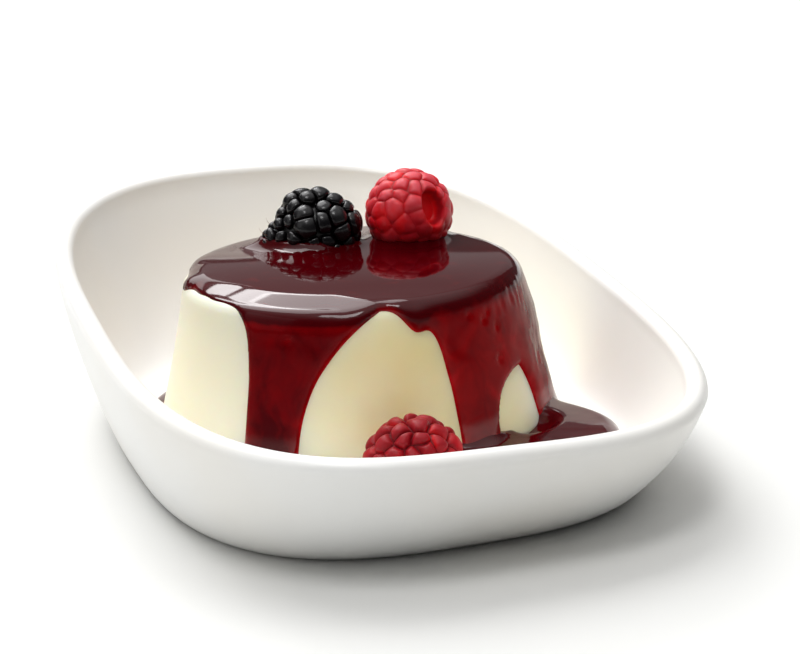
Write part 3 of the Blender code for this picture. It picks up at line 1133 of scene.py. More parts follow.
@dataclass(frozen=True)
class Tear:
    """A patch of fine runs in the sauce, on the side where it sets first."""

    azimuth: float
    half_width: float
    height: float
    rise: Pair
    fall: Pair = (101.0, 100.0)
    lumps: float = 0.0
    length_share: float = 0.4
    run_size: Pair = (1.3, 3.3)
    lump_size: Pair = (3.4, 6.1)

    def extra(self, azimuth: float, spot: Vector) -> float:
        """Find what it adds to the sauce.

        Args:
            azimuth: in degrees.
            spot: the point of the cream below.

        Returns:
            The added thickness.
        """
        patch = plateau(azimuth, self.azimuth, self.half_width)
        patch = patch * smoothstep(*self.rise, spot.z) * smoothstep(*self.fall, spot.z)
        runs = ripple(Vector((spot.x, spot.y, spot.z * self.length_share)), *self.run_size)
        return self.height * patch * (runs + self.lumps * ripple(spot, *self.lump_size))


@dataclass(frozen=True)
class Brink:
    """Where the top sinks, just inside the part of its edge that the sauce flows over."""

    first: float = 146.0
    last: float = 268.0
    rises: tuple[float, float, float] = (10.0, 30.0, 55.0)
    close: float = 24.0
    narrow: float = 0.35
    width: float = 6.6
    bend: float = 0.9
    slope: float = 0.2
    end: float = 31.3

    def fall(self, azimuth: float, distance: float) -> float:
        """How far the top has sunk at a place.

        Args:
            azimuth: in degrees.
            distance: from the middle of the top.

        Returns:
            The fall: none, then a bend, then an even slope.
        """
        opened, start, end = (self.first + rise for rise in self.rises)
        grown = self.narrow + (1 - self.narrow) * smoothstep(start, end, azimuth)
        width = smoothstep(self.first, opened, azimuth) * grown
        width *= self.width * smoothstep(self.last, self.last - self.close, azimuth)
        past = (distance - self.end + width) / self.bend
        if past <= 0:
            return 0.0
        run = past**3 - past**4 / 2 if past < 1 else past - 0.5
        return self.slope * self.bend * run


def densify(corners: Sequence[Place], degree: float, spacing: float) -> Iterator[Place]:
    """Go along a line of places in close steps.

    Args:
        corners: the line's corners.
        degree: how many millimetres a degree of azimuth counts for.
        spacing: the longest step, in millimetres.

    Yields:
        The places, with each corner but the last.
    """
    for (azimuth, other), (next_azimuth, next_other) in zip(corners, corners[1:]):
        gap = math.hypot((next_azimuth - azimuth) * degree, next_other - other)
        parts = max(1, math.ceil(gap / spacing))
        for part in range(parts):
            yield (azimuth + (next_azimuth - azimuth) * part / parts,
                   other + (next_other - other) * part / parts)


class FreeEdge:
    """The edge where sauce ends, as many close places."""

    def __init__(self, places: Sequence[Place], spot: Callable[[float, float], Vector]) -> None:
        """Keep the places along the edge, each of which stands for a point."""
        self.places = places
        self.tree = point_tree([spot(*place) for place in places])

    def nearest(self, point: Vector) -> tuple[float, Place]:
        """The distance to the edge, and the place on it that is nearest."""
        _, index, distance = self.tree.find(point)
        return distance, self.places[index]

    def trim(self, bm: bmesh.types.BMesh, places: dict[bmesh.types.BMVert, Place],
             past: Callable[[float, float], bool], slack: float,
             free: Pair) -> dict[bmesh.types.BMVert, float]:
        """Cut a skin back to the edge, and move its border there.

        Args:
            bm: the skin.
            places: each point's place, which is changed where the point is moved or cut away.
            past: whether a place is past the edge.
            slack: how far past the edge a point may be and still be moved back to it.
            free: the distances between which the skin's border is a free edge.

        Returns:
            How far each point that is left lies from the edge.
        """
        gaps, drop = {}, []
        for vert in bm.verts:
            gap, nearest = self.nearest(vert.co)
            if not past(*places[vert]):
                gaps[vert] = gap
            elif gap > slack:
                drop.append(vert)
                del places[vert]
            else:
                places[vert], gaps[vert] = nearest, 0.0
        bmesh.ops.delete(bm, geom=drop, context="VERTS")
        for vert in bm.verts:
            if vert.is_boundary and free[0] < places[vert][1] < free[1]:
                places[vert], gaps[vert] = self.nearest(vert.co)[1], 0.0
        return gaps


def thicken(bm: bmesh.types.BMesh, places: dict[bmesh.types.BMVert, Place],
            under: Callable[[float, float], Vector]) -> None:
    """Close an open skin by an underside.

    Args:
        bm: the mesh, whose faces are the upper side.
        places: the place of each upper point.
        under: where the underside lies below a place.
    """
    bmesh.ops.extrude_face_region(bm, geom=bm.faces[:], use_keep_orig=True)
    for vert, place in places.items():
        vert.co = under(*place)


@dataclass(frozen=True)
class SauceForm:
    """The sauce over the cream: a skin with bare arches, tongues, ropes and a climbing edge."""

    cream: CreamForm
    windows: tuple[Window, ...] = (
        Window(130.0, 219.6, 190.0, 34.8, (6.0, 9.5), 3.3),
        Window(236.4, 283.7, 262.5, 34.8, (1.25, 4.6), 2.3),
        Window(297.8, 320.0, 314.6, 19.0, (2.2, 1.15), 2.4, 6.3),
        Window(350.0, 468.0, 410.0, 34.0, (5.0, 5.0), 3.2),
    )
    lobes: tuple[Lobe, ...] = (
        Lobe(172.0, 5.0, 1.2, 0.1),
        Lobe(273.3, 4.8, 3.7, 0.8),
        Lobe(384.0, 6.0, 9.0, 0.5),
        Lobe(427.0, 7.0, 15.0, 0.6),
    )
    ropes: tuple[Rope, ...] = (
        Rope(228.0, 6.0, 0.45, 24.0),
        Rope(291.0, 5.0, 0.35, 22.0),
        Rope(334.0, 8.0, 0.9, 22.0, 2.0),
        Rope(115.0, 7.0, 0.5, 26.0),
    )
    swellings: tuple[Swelling, ...] = (
        Swelling(350.0, 20.0, 24.0, 8.0, 1.1),
        Swelling(303.2, 1.5, 22.0, 1.0, -0.5),
        Swelling(304.4, 1.2, 28.2, 0.8, -0.45),
        Swelling(298.6, 1.2, 30.2, 0.7, -0.45),
        Swelling(292.7, 1.0, 31.9, 0.6, -0.4),
        Swelling(300.8, 1.0, 31.6, 0.6, -0.35),
        Swelling(233.0, 1.2, 30.0, 0.7, -0.3),
    )
    tears: tuple[Tear, ...] = (
        Tear(316.0, 13.0, 0.36, (28.0, 32.0)),
        Tear(334.0, 16.0, 0.09, (12.0, 18.0), (33.0, 27.0), 1.0),
    )
    waves: tuple[tuple[float, float, float], ...] = ((0.16, 6.5, 5.0), (0.07, 2.6, 9.0))
    wave_start: Pair = (34.0, 40.0)
    brink: Brink = Brink()
    bottom: float = 6.0
    skirt: float = 1.0
    top_depth: float = 1.4
    side_depth: float = 0.9
    least_depth: float = 0.3
    bead_start: Pair = (26.0, 31.0)
    side_start: Pair = (31.0, 36.5)
    buried: float = 0.22
    edge_width: float = 2.6
    edge_evenness: float = 0.6
    edge_spacing: float = 0.08
    degree: float = 0.63
    snap: float = 0.62
    bare_start: float = 28.2
    middle: float = 5.0
    wander: float = 0.16
    wander_degree: float = 1.6
    wander_waves: tuple[Pair, Pair] = ((6.0, 7.7), (5.0, 1.9))
    wander_radius: float = 36.0
    climb: float = 0.9
    climb_reach: float = 0.8
    mound_reach: float = 2.2
    painted_glow_side: Pair = (315.0, 39.0)
    painted_glow_start: Pair = (33.0, 36.5)
    painted_glow_share: float = 0.5
    brink_tint: Pair = (35.5, 33.5)
    columns: int = 512
    first_row: float = 1.2
    top_rows: int = 52
    side_row: float = 0.5

    def arch_height(self, window: Window, azimuth: float) -> float:
        """Find the height of a window's arch, with the tongues that hang into it.

        Args:
            window: the window.
            azimuth: in degrees, inside it.

        Returns:
            The height.
        """
        height = window.arch(azimuth)
        for lobe in self.lobes:
            height -= lobe.droop(azimuth)
        return max(height, window.foot)

    def _wander(self, azimuth: float, height: float) -> Pair:
        """Find how far the edge strays.

        Args:
            azimuth: in degrees.
            height: over the table.

        Returns:
            The stray in degrees and in millimetres.
        """
        spot = turned_point(azimuth, self.wander_radius, height)
        return (self.wander * self.wander_degree * ripple(spot, *self.wander_waves[0]),
                self.wander * ripple(spot, *self.wander_waves[1]))

    def bare(self, azimuth: float, distance: float) -> bool:
        """Whether the cream is bare at a place.

        Args:
            azimuth: in degrees.
            distance: along the outline.

        Returns:
            Whether it lies in a window.
        """
        if distance <= self.bare_start:
            return False
        height = self.cream.outline(distance)[1]
        aside, rise = self._wander(azimuth, height)
        for window in self.windows:
            spot = (azimuth + aside - window.left) % 360.0 + window.left
            if spot < window.right:
                return height + rise < self.arch_height(window, spot) or height < window.foot
        return False

    def edge(self) -> FreeEdge:
        """Draw the edge round every window.

        Returns:
            The edge.
        """
        places = []
        low = self.bottom - self.skirt
        for window in self.windows:
            corners = [(window.left, low), (window.left, window.foot),
                       *((azimuth, self.arch_height(window, azimuth))
                         for azimuth in window.azimuths()),
                       (window.right, window.foot), (window.right, low)]
            for azimuth, height in densify(corners, self.degree, self.edge_spacing):
                aside, rise = self._wander(azimuth, height)
                places.append((azimuth - aside, self.cream.distance_at(height - rise)))
        return FreeEdge(places, self.cream.surface)

    def full_depth(self, azimuth: float, distance: float, spot: Vector) -> float:
        """How thick the sauce is at a place, away from any edge.

        Args:
            azimuth: in degrees.
            distance: along the outline.
            spot: the point of the cream below.

        Returns:
            The thickness.
        """
        depth = self.top_depth - self.brink.fall(azimuth, distance)
        side = smoothstep(*self.side_start, distance)
        outer = smoothstep(*self.bead_start, distance)
        depth += (self.side_depth - depth) * side
        for rope in self.ropes:
            depth += rope.extra(azimuth, spot.z) * side
        for lobe in self.lobes:
            depth += lobe.extra(azimuth, spot.z) * outer
        depth += side * sum(swelling.extra(azimuth, spot.z) for swelling in self.swellings)
        waves = sum(height * ripple(spot, *wave) for height, *wave in self.waves)
        depth += smoothstep(*self.wave_start, distance) * waves
        depth += side * sum(tear.extra(azimuth, spot) for tear in self.tears)
        return max(depth, self.least_depth)

    def climb_at(self, spot: Vector, berries: Sequence["Berry"]) -> float:
        """How far the sauce climbs there.

        Args:
            spot: a point on the sauce's top.
            berries: the berries that stand in it.

        Returns:
            The rise.
        """
        rise = 0.0
        for berry in berries:
            near = max(berry.clearance(spot), 0.0)
            rise += self.climb * math.exp(-near / self.climb_reach)
            rise += berry.mound_at(spot) * math.exp(-near / self.mound_reach)
        return rise

    def _stops(self) -> list[float]:
        """Space the rows.

        Returns:
            The distances along the outline at which they lie.
        """
        start, end = self.cream.shoulder_start, self.cream.distance_at(self.bottom)
        stops = [self.first_row + (start - self.first_row) * step / self.top_rows
                 for step in range(self.top_rows)]
        side_rows = round((end - start) / self.side_row)
        return stops + [start + (end - start) * step / side_rows for step in range(side_rows + 1)]

    def build(self, berries: Sequence["Berry"], finish: bpy.types.Material) -> bpy.types.Object:
        """Make the sauce over the cream.

        Args:
            berries: the berries that stand in it.
            finish: its surface.

        Returns:
            The piece.
        """
        cream, stops, even = self.cream, self._stops(), self.edge_evenness
        scale = 360 / self.columns
        skin = RingSkin(self.columns)
        skin.lay_rings([lambda column, s=s: cream.surface(column * scale, s) for s in stops])
        bm = skin.bm
        tint = bm.verts.layers.float.new("depth")
        places = {vert: (vert[skin.column] * scale, stops[vert[skin.row]]) for vert in bm.verts}
        gaps = self.edge().trim(bm, places, self.bare, self.snap * (scale * self.degree),
                                (self.middle, max(stops) - 1e-6))
        skin.cap()
        for vert in bm.verts:
            azimuth, distance = places[vert]
            around = azimuth % 360
            spot = cream.surface(azimuth, distance)
            depth = self.full_depth(around, distance, spot)
            width = self.edge_width * (even + (1 - even) * depth)
            depth *= rounded(min(gaps[vert] / width, 1.0))
            # Painted light: on the right-front side the tint is lowered, so the sauce there shows the brighter
            # red of a thin film, standing in for light from the bowl's bright right wall shining through it.
            glow = plateau(around, *self.painted_glow_side) * smoothstep(*self.painted_glow_start, distance)
            fallen = self.brink.fall(around, distance) * smoothstep(*self.brink_tint, distance)
            vert[tint] = (depth + fallen) * (1 - self.painted_glow_share * glow)
            if distance < cream.shoulder_start:
                depth += self.climb_at(spot + UP * depth, berries)
            vert.co = cream.surface(azimuth, distance, depth)
        thicken(bm, places, lambda *place: cream.surface(*place, -self.buried))
        return finish_piece(bm, "sauce_over_cream", finish, "sauce_coat")


@dataclass(frozen=True)
class Spread:
    """A place where the pool reaches further out or up, in degrees and millimetres."""

    azimuth: float
    half_width: float
    extra: float


@dataclass(frozen=True)
class Dome:
    """A broad mound in the pool, or a hollow, at an azimuth and a radius."""

    azimuth: float
    radius: float
    half_width: float
    extra: float
    power: float = 2.4

    def rise(self, azimuth: float, radius: float) -> float:
        """Find what it adds to the pool.

        Args:
            azimuth: in degrees.
            radius: from the cream's axis.

        Returns:
            The added height.
        """
        aside = math.radians(azimuth - self.azimuth) * radius
        reach = (aside**2 + (radius - self.radius) ** 2) / self.half_width**2
        return self.extra * math.exp(-(reach**self.power))


@dataclass(frozen=True)
class PoolForm:
    """The sauce on the bowl's floor, round the front of the cream's foot."""

    cream: CreamForm
    start: float = 103.0
    end: float = 353.0
    floor: float = 5.6
    buried: float = 0.25
    depth: float = 1.9
    reach: float = 41.3
    edge_width: float = 3.2
    edge_spacing: float = 0.1
    edge_share: float = 0.35
    spreads: tuple[Spread, ...] = (
        Spread(307.5, 19.5, 26.0),
        Spread(280.0, 12.0, 3.0),
        Spread(227.0, 14.0, 4.0),
        Spread(148.0, 16.0, 1.2),
    )
    wander: float = 0.5
    wander_wave: Pair = (8.0, 2.2)
    wander_radius: float = 45.0
    end_rounding: float = 5.0
    limits: Pair = (44.8, 59.2)
    limit_power: float = 2.9
    limit_centre_y: float = -2.0
    flares: tuple[Spread, ...] = (
        Spread(228.0, 7.0, 2.0),
        Spread(291.0, 7.0, 2.0),
        Spread(337.0, 6.0, 2.6),
        Spread(115.0, 8.0, 2.0),
    )
    flare_reach: float = 1.9
    least_flare: float = 0.7
    domes: tuple[Dome, ...] = (
        Dome(321.5, 48.8, 12.3, 1.3),
        Dome(312.8, 39.0, 5.4, -2.6),
    )
    tint_slope: float = 0.75
    tint_full: float = 1.5
    tint_width: float = 1.2
    inner: float = 37.6
    columns: int = 420
    row: float = 0.5
    snap: float = 0.33
    steps: int = 2600
    rounding: int = 50

    def outline(self) -> list[float]:
        """How far the pool reaches at each step of azimuth.

        Returns:
            The radii, with their corners rounded off.
        """
        sharp = [self._reach(self.start + (self.end - self.start) * step / self.steps)
                 for step in range(self.steps + 1)]
        smooth = []
        for step in range(self.steps + 1):
            span = min(step, self.steps - step, self.rounding)
            smooth.append(sum(sharp[step - span:step + span + 1]) / (2 * span + 1))
        return smooth

    def edge_radius(self, azimuth: float, outline: Sequence[float]) -> float:
        """Find how far the pool reaches.

        Args:
            azimuth: in degrees.
            outline: the radii at even steps of azimuth.

        Returns:
            The radius between the nearest two.
        """
        along = (azimuth - self.start) / (self.end - self.start) * self.steps
        before = max(0, min(int(along), self.steps - 1))
        return outline[before] + (outline[before + 1] - outline[before]) * (along - before)

    def _reach(self, azimuth: float) -> float:
        """How far the pool would reach if it kept its corners.

        Args:
            azimuth: in degrees.

        Returns:
            The radius.
        """
        reach = self.reach + sum(
            spread.extra * plateau(azimuth, spread.azimuth, spread.half_width)
            for spread in self.spreads)
        reach += self.wander * ripple(turned_point(azimuth, self.wander_radius), *self.wander_wave)
        ends = min(azimuth - self.start, self.end - azimuth) / self.end_rounding
        reach = self.inner + (reach - self.inner) * math.sqrt(max(0.0, min(ends, 1.0)))
        while reach > self.inner and not self._within(azimuth, reach):
            reach -= self.edge_spacing
        return reach

    def _within(self, azimuth: float, radius: float) -> bool:
        """Check that a place is inside the bowl's wall.

        Args:
            azimuth: in degrees.
            radius: from the cream's axis.

        Returns:
            Whether it is.
        """
        spot, power = self._spot(azimuth, radius), self.limit_power
        across = abs(spot.x / self.limits[0]) ** power
        return across + abs((spot.y - self.limit_centre_y) / self.limits[1]) ** power <= 1

    def _spot(self, azimuth: float, radius: float, height: float = 0.0) -> Vector:
        """The point at a place, at a height over the table."""
        return turned_point(azimuth, radius, height, self.cream.centre)

    def surface(self, azimuth: float, radius: float, gap: float) -> float:
        """The pool's height over the bowl's floor.

        Args:
            azimuth: in degrees.
            radius: from the cream's axis.
            gap: the distance to the pool's edge.

        Returns:
            The height: the edge is round, the flares climb the cream, and the domes swell.
        """
        share = min(gap / self.edge_width, 1.0)
        height = self.depth * rounded(share)
        away = max(radius - self.cream.side_radius(self.floor + self.depth), 0.0)
        rise = self.least_flare
        for flare in self.flares:
            rise += flare.extra * bell((azimuth - flare.azimuth) / flare.half_width)
        height += rise * math.exp(-away / self.flare_reach) * share
        for dome in self.domes:
            height += dome.rise(azimuth, radius) * share
        return max(height, self.edge_share * share)

    def build(self, finish: bpy.types.Material) -> bpy.types.Object:
        """Make the pool.

        Args:
            finish: its surface.

        Returns:
            The piece.
        """
        outline = self.outline()
        corners = [(self.start + (self.end - self.start) * step / self.steps, radius)
                   for step, radius in enumerate(outline)]
        edge = FreeEdge(list(densify(corners, 0.0, self.edge_spacing)), self._spot)
        width = max(outline) + self.row - self.inner
        bm = bmesh.new()
        tint = bm.verts.layers.float.new("depth")
        bmesh.ops.create_grid(bm, x_segments=self.columns, y_segments=round(width / self.row),
                              size=1.0)
        places = {}
        for vert in bm.verts:
            azimuth = self.start + (self.end - self.start) * (vert.co.x + 1) / 2
            places[vert] = (azimuth, self.inner + width * (vert.co.y + 1) / 2)
            vert.co = self._spot(*places[vert])
        gaps = edge.trim(bm, places,
                         lambda azimuth, radius: radius > self.edge_radius(azimuth, outline),
                         self.snap, (self.inner + 1e-6, math.inf))
        for vert in bm.verts:
            height = self.surface(*places[vert], gaps[vert])
            edge_tint = self.tint_full * min(gaps[vert] / self.tint_width, 1.0)
            vert[tint] = max(self.tint_slope * height, edge_tint)
            vert.co = self._spot(*places[vert], self.floor + height)
        thicken(bm, places, lambda *place: self._spot(*place, self.floor - self.buried))
        return finish_piece(bm, "sauce_pool_glossy", finish, "sauce_pool")


# ---------------------------------------------------------------------------------------- berries


@dataclass
class Drupelet:
    """One of a berry's small round fruits."""

    centre: Vector
    out: Vector
    around: Vector
    sizes: tuple[float, float, float]
    crown: Vector


@dataclass(frozen=True)
class Thread:
    """The dry thread that a drupelet's flower left, bent over from its crown."""

    radius: float = 0.05
    root: float = 0.15
    lengths: Pair = (1.3, 2.4)
    sides: int = 5
    steps: int = 5
    taper: float = 0.82
    bend: float = 0.35
    tint: float = 2.0

    def add(self, bm: bmesh.types.BMesh, crown: bmesh.types.BMLayerItem, one: Drupelet,
            pick: random.Random) -> None:
        """Add one.

        Args:
            bm: the berry.
            crown: the layer that colours it.
            one: the drupelet that it stands on.
            pick: the berry's own random numbers.
        """
        lean = one.around * pick.uniform(-1, 1) + one.out.cross(one.around) * pick.uniform(-1, 1)
        length = pick.uniform(*self.lengths)
        before = set(bm.verts)
        ring = bmesh.ops.create_circle(bm, segments=self.sides, radius=self.radius,
                                       cap_ends=True)["verts"]
        face = ring[0].link_faces[0]
        turn = one.out.to_track_quat("Z", "Y").to_matrix()
        for vert in ring:
            vert.co = one.crown - one.out * self.root + turn @ vert.co
        for step in range(self.steps):
            grown = bmesh.ops.extrude_face_region(bm, geom=[face])["geom"]
            tips = [item for item in grown if isinstance(item, bmesh.types.BMVert)]
            if step:
                bmesh.ops.delete(bm, geom=[face], context="FACES_ONLY")
            face = next(item for item in grown if isinstance(item, bmesh.types.BMFace))
            move = (one.out + lean * (self.bend * step)).normalized() * length / self.steps
            middle = sum((vert.co for vert in tips), Vector()) / len(tips)
            for vert in tips:
                vert.co = middle + (vert.co - middle) * self.taper + move
        for vert in bm.verts:
            if vert not in before:
                vert[crown] = self.tint


@dataclass(frozen=True)
class Berry:
    """A berry of drupelets pressed together in rings about its own axis."""

    name: str
    node: str
    centre: tuple[float, float, float]
    half_sizes: Pair
    axis: tuple[float, float, float]
    seat: float
    skin: BerrySkin
    pitch: float = 3.2
    stride: float = 3.9
    overlap: float = 0.92
    taper: float = 0.0
    head_share: float = 1.0
    head_fade: Pair = (0.1, 1.7)
    mouth: float = 0.0
    pit: float = 0.0
    hollow: Pair = (1.0, 1.0)
    hollow_ends: Pair = (1.15, 0.6)
    plumpness: float = 0.75
    spread: float = 0.7
    squeeze: float = 0.3
    wall_gap: float = 0.015
    wall_reach: float = 1.9
    crown_fall: float = 1.3
    fused: bool = False
    groove: float = 0.5
    groove_width: float = 0.9
    groove_power: float = 1.3
    low_groove: Pair = (0.4, 0.45)
    bulge: float = 0.14
    upward_light_share: float = 0.6
    upward_ends: Pair = (-0.3, 0.9)
    scatter: float = 1.0
    stray_turn: float = 0.14
    stray_lean: float = 0.13
    stray_size: float = 0.10
    warp: float = 0.15
    warp_wavelength: float = 3.6
    core_depth: float = 0.5
    core_tints: Pair = (0.05, 0.5)
    core_detail: int = 5
    ball_detail: int = 4
    skin_detail: int = 7
    neighbours: int = 4
    threads: int = 12
    thread_side: float = 0.5
    mound: float = 0.0
    mound_end: float = 20.0
    mound_fade: float = 5.0
    mound_loss: float = 0.85
    seed: int = 1

    def axes(self) -> Matrix:
        """The berry's own axes, the first of them its axis."""
        return Vector(self.axis).to_track_quat("X", "Z").to_matrix()

    def _surface(self, polar: float, turn: float) -> tuple[Vector, Vector]:
        """Find the berry's rough form at two angles.

        Args:
            polar: the angle from the head.
            turn: the angle round the axis.

        Returns:
            The point and its outward normal, untilted.
        """
        length, breadth = self.half_sizes
        along, across = math.cos(polar), math.sin(polar)
        width = breadth * (1 - self.taper * max(along, 0.0) ** 2)
        point = Vector((length * along, width * across * math.cos(turn),
                        width * across * math.sin(turn)))
        normal = Vector((point.x / length**2, point.y / width**2, point.z / width**2))
        return point, normal.normalized()

    def _toward(self, direction: Vector) -> tuple[float, Vector, Vector]:
        """The angle from the head of a direction, and the rough form's point and normal there."""
        polar = math.acos(max(-1.0, min(1.0, direction.x)))
        return polar, *self._surface(polar, math.atan2(direction.z, direction.y))

    def _share(self, polar: float) -> float:
        """How large the drupelets are at an angle from the head, against the largest."""
        return self.head_share + (1 - self.head_share) * smoothstep(*self.head_fade, polar)

    def _rings(self) -> list[float]:
        """Space the rings of drupelets.

        Returns:
            The angles from the head at which they lie, down to the tip.
        """
        length, breadth = self.half_sizes
        first = math.radians(self.mouth)
        angles = [first]
        while angles[-1] < math.pi:
            polar = angles[-1]
            arc = math.hypot(length * math.sin(polar), breadth * math.cos(polar))
            angles.append(polar + self.overlap * self.stride * self._share(polar) / arc)
        scale = (math.pi - first) / (angles[-1] - first)
        return [first + (angle - first) * scale for angle in angles]

    def drupelets(self) -> list[Drupelet]:
        """Set the drupelets round the berry.

        Returns:
            The drupelets, ring after ring from the mouth to the tip.
        """
        pick = random.Random(self.seed)
        base, tilt = Vector(self.centre), self.axes()
        found = []
        for polar in self._rings():
            share = self._share(polar)
            pitch, stride = self.pitch * share, self.stride * share
            rim = self._surface(polar, 0.0)[0]
            count = max(1, round(math.tau * math.hypot(rim.y, rim.z) / pitch))
            start = pick.uniform(0, math.tau)
            for index in range(count):
                stray = self.scatter * pick.uniform(-1, 1) * self.stray_turn
                turn = start + math.tau * (index + stray) / count
                lean = polar
                if count > 1:
                    stray = self.scatter * pick.uniform(-1, 1) * self.stray_lean
                    lean += stray * stride / self.half_sizes[1]
                point, out = self._surface(lean, turn)
                size = 1 + self.scatter * self.stray_size * pick.uniform(-1, 1)
                deep = self.plumpness * 0.5 * (pitch + stride)
                around = Vector((0.0, -math.sin(turn), math.cos(turn)))
                sink = deep * (1 + self.stray_size * self.scatter * pick.uniform(-0.5, 1))
                sizes = (size * deep, size * self.spread * pitch, size * self.spread * stride)
                centre = base + tilt @ (point - out * sink)
                outward = tilt @ out
                found.append(Drupelet(centre, outward, tilt @ around, sizes,
                                      centre + outward * sizes[0]))
        return found

    def mound_at(self, spot: Vector) -> float:
        """Find how high the sauce gathers at the berry.

        Args:
            spot: a point on the sauce.

        Returns:
            The height, which is less on the berry's right.
        """
        aside = (spot - Vector(self.centre)).dot(ACROSS)
        past = smoothstep(self.mound_end - self.mound_fade, self.mound_end, aside)
        return self.mound * (1 - self.mound_loss * past)

    def clearance(self, spot: Vector) -> float:
        """Find how far a point is from the berry's rough form.

        Args:
            spot: the point.

        Returns:
            The distance, which is negative inside.
        """
        length, breadth = self.half_sizes
        inner = self.axes().transposed() @ (spot - Vector(self.centre))
        width = breadth * (1 - self.taper * max(inner.x / length, 0.0) ** 2)
        scaled = Vector((inner.x / length, inner.y / width, inner.z / width))
        return (scaled.length - 1) * min(length, breadth)

    def _walls(self, one: Drupelet, others: Sequence[Drupelet]) -> list[tuple[Vector, float]]:
        """Part a drupelet from its neighbours by planes.

        Args:
            one: the drupelet.
            others: its neighbours.

        Returns:
            The direction and the distance of each plane.
        """
        walls = []
        own = one.sizes[1] * one.sizes[2]
        for other in others:
            aside = other.centre - one.centre
            gap = aside.length
            theirs = other.sizes[1] * other.sizes[2]
            walls.append((aside / gap, (gap * gap + own - theirs) / (2 * gap) - self.wall_gap))
        return walls

    def _press(self, offset: Vector, walls: Sequence[tuple[Vector, float]]) -> Vector:
        """Push a drupelet's point back from the walls around it.

        Args:
            offset: the point, measured from the drupelet's middle.
            walls: the direction and the distance of each wall.

        Returns:
            The pressed point.
        """
        for aside, distance in walls:
            reach, free = offset.dot(aside), distance - self.squeeze
            if reach > free:
                pressed = free + self.squeeze * (1 - math.exp((free - reach) / self.squeeze))
                offset = offset + aside * (pressed - reach)
        return offset

    def build(self) -> bpy.types.Object:
        """Make the berry.

        Returns:
            The piece.
        """
        bm = bmesh.new()
        crown = bm.verts.layers.float.new("crown")
        tone = bm.verts.layers.float.new("tone")
        pick = random.Random(self.seed + 100)
        drupelets = self.drupelets()
        if self.fused:
            self._add_skin(bm, crown, tone, drupelets)
        else:
            for one in drupelets:
                self._add_drupelet(bm, crown, tone, one, drupelets, pick.random())
            self._add_core(bm, crown, tone)
        axis = Vector(self.axis).normalized()
        heads = [one for one in drupelets if one.out.dot(axis) > self.thread_side]
        for one in pick.sample(heads, min(self.threads, len(heads))):
            Thread().add(bm, crown, one, pick)
        geometry = list(bm.verts) + list(bm.edges) + list(bm.faces)
        cut = bmesh.ops.bisect_plane(bm, geom=geometry, dist=1e-5, plane_co=(0, 0, self.seat),
                                     plane_no=(0, 0, -1), clear_outer=True)
        edges = [item for item in cut["geom_cut"] if isinstance(item, bmesh.types.BMEdge)]
        if edges:
            bmesh.ops.edgeloop_fill(bm, edges=edges)
        return finish_piece(bm, self.name, self.skin.material(), self.node)

    def _stray(self, spot: Vector) -> Vector:
        """How far the berry's form is bent out of shape there."""
        return Vector(ripple(spot, self.warp_wavelength, self.seed + 10.0 * axis)
                      for axis in range(3)) * self.warp

    def _add_drupelet(self, bm: bmesh.types.BMesh, crown: bmesh.types.BMLayerItem,
                      tone: bmesh.types.BMLayerItem, one: Drupelet,
                      drupelets: Sequence[Drupelet], shade: float) -> None:
        """Add one drupelet, pressed against the others.

        Args:
            bm: the berry.
            crown: the layer for how near a point is to the crown.
            tone: the layer for the drupelet's own shade.
            one: the drupelet.
            drupelets: all of them.
            shade: its shade.
        """
        reach = self.wall_reach * max(self.pitch, self.stride)
        others = [other for other in drupelets
                  if other is not one and (other.crown - one.crown).length < reach]
        walls = self._walls(one, others)
        turned = Matrix((one.out, one.around, one.out.cross(one.around))).transposed()
        for vert in add_ball(bm, self.ball_detail):
            shaped = Vector(share * size for share, size in zip(vert.co, one.sizes))
            spot = one.centre + self._press(turned @ shaped, walls)
            fall = (one.crown - spot).dot(one.out)
            vert.co = spot + self._stray(spot)
            # Down the drupelet's sides the crown number falls towards 0, and there the skin paints the shade
            # between drupelets.
            vert[crown] = min(max(1 - fall / self.crown_fall, 0.0), 1.0)
            vert[tone] = shade

    def _add_skin(self, bm: bmesh.types.BMesh, crown: bmesh.types.BMLayerItem,
                  tone: bmesh.types.BMLayerItem, drupelets: Sequence[Drupelet]) -> None:
        """Add one skin that swells into the drupelets and turns in at the stalk's hollow.

        Args:
            bm: the berry.
            crown: the layer for how near a point is to a crown.
            tone: the layer for each drupelet's own shade, mixed with painted light that is brighter on
                upward-facing parts.
            drupelets: all of them.
        """
        tree = point_tree([one.crown for one in drupelets])
        own = [math.sqrt(one.sizes[1] * one.sizes[2]) for one in drupelets]
        usual = sum(own) / len(own)
        tilt, base = self.axes(), Vector(self.centre)
        wide, tall = self.hollow
        sunk, dark = self.low_groove
        for vert in add_ball(bm, self.skin_detail):
            _, point, out = self._toward(vert.co.normalized())
            spot = base + tilt @ point
            found = tree.find_n(spot + self._stray(spot), self.neighbours)
            near = sorted((gap * usual / own[index], index) for _, index, gap in found)
            aside = near[1][0] - near[0][0]
            groove = math.exp(-((aside / self.groove_width) ** self.groove_power))
            upward = smoothstep(*self.upward_ends, (tilt @ out).z)
            sink = self.groove * groove * (sunk + (1 - sunk) * upward)
            sink += self.bulge * (near[0][0] / (0.5 * self.pitch)) ** 2
            reach = math.hypot(point.y / wide, point.z / tall)
            open_end = self.pit and point.x > 0
            inside = smoothstep(*self.hollow_ends, reach) if open_end else 0.0
            point -= out * (sink * (1 - inside))
            point.x -= self.pit * inside
            # In the grooves the crown number falls, most on upward-facing parts, and the skin paints shade
            # there; the tone rises on upward-facing parts, where the skin paints light.
            vert[crown] = (1 - groove * (dark + (1 - dark) * upward)) * (1 - inside) - inside
            shade = random.Random(self.seed * 1000 + near[0][1]).random()
            vert[tone] = (1 - self.upward_light_share) * shade + self.upward_light_share * upward
            vert.co = base + tilt @ point

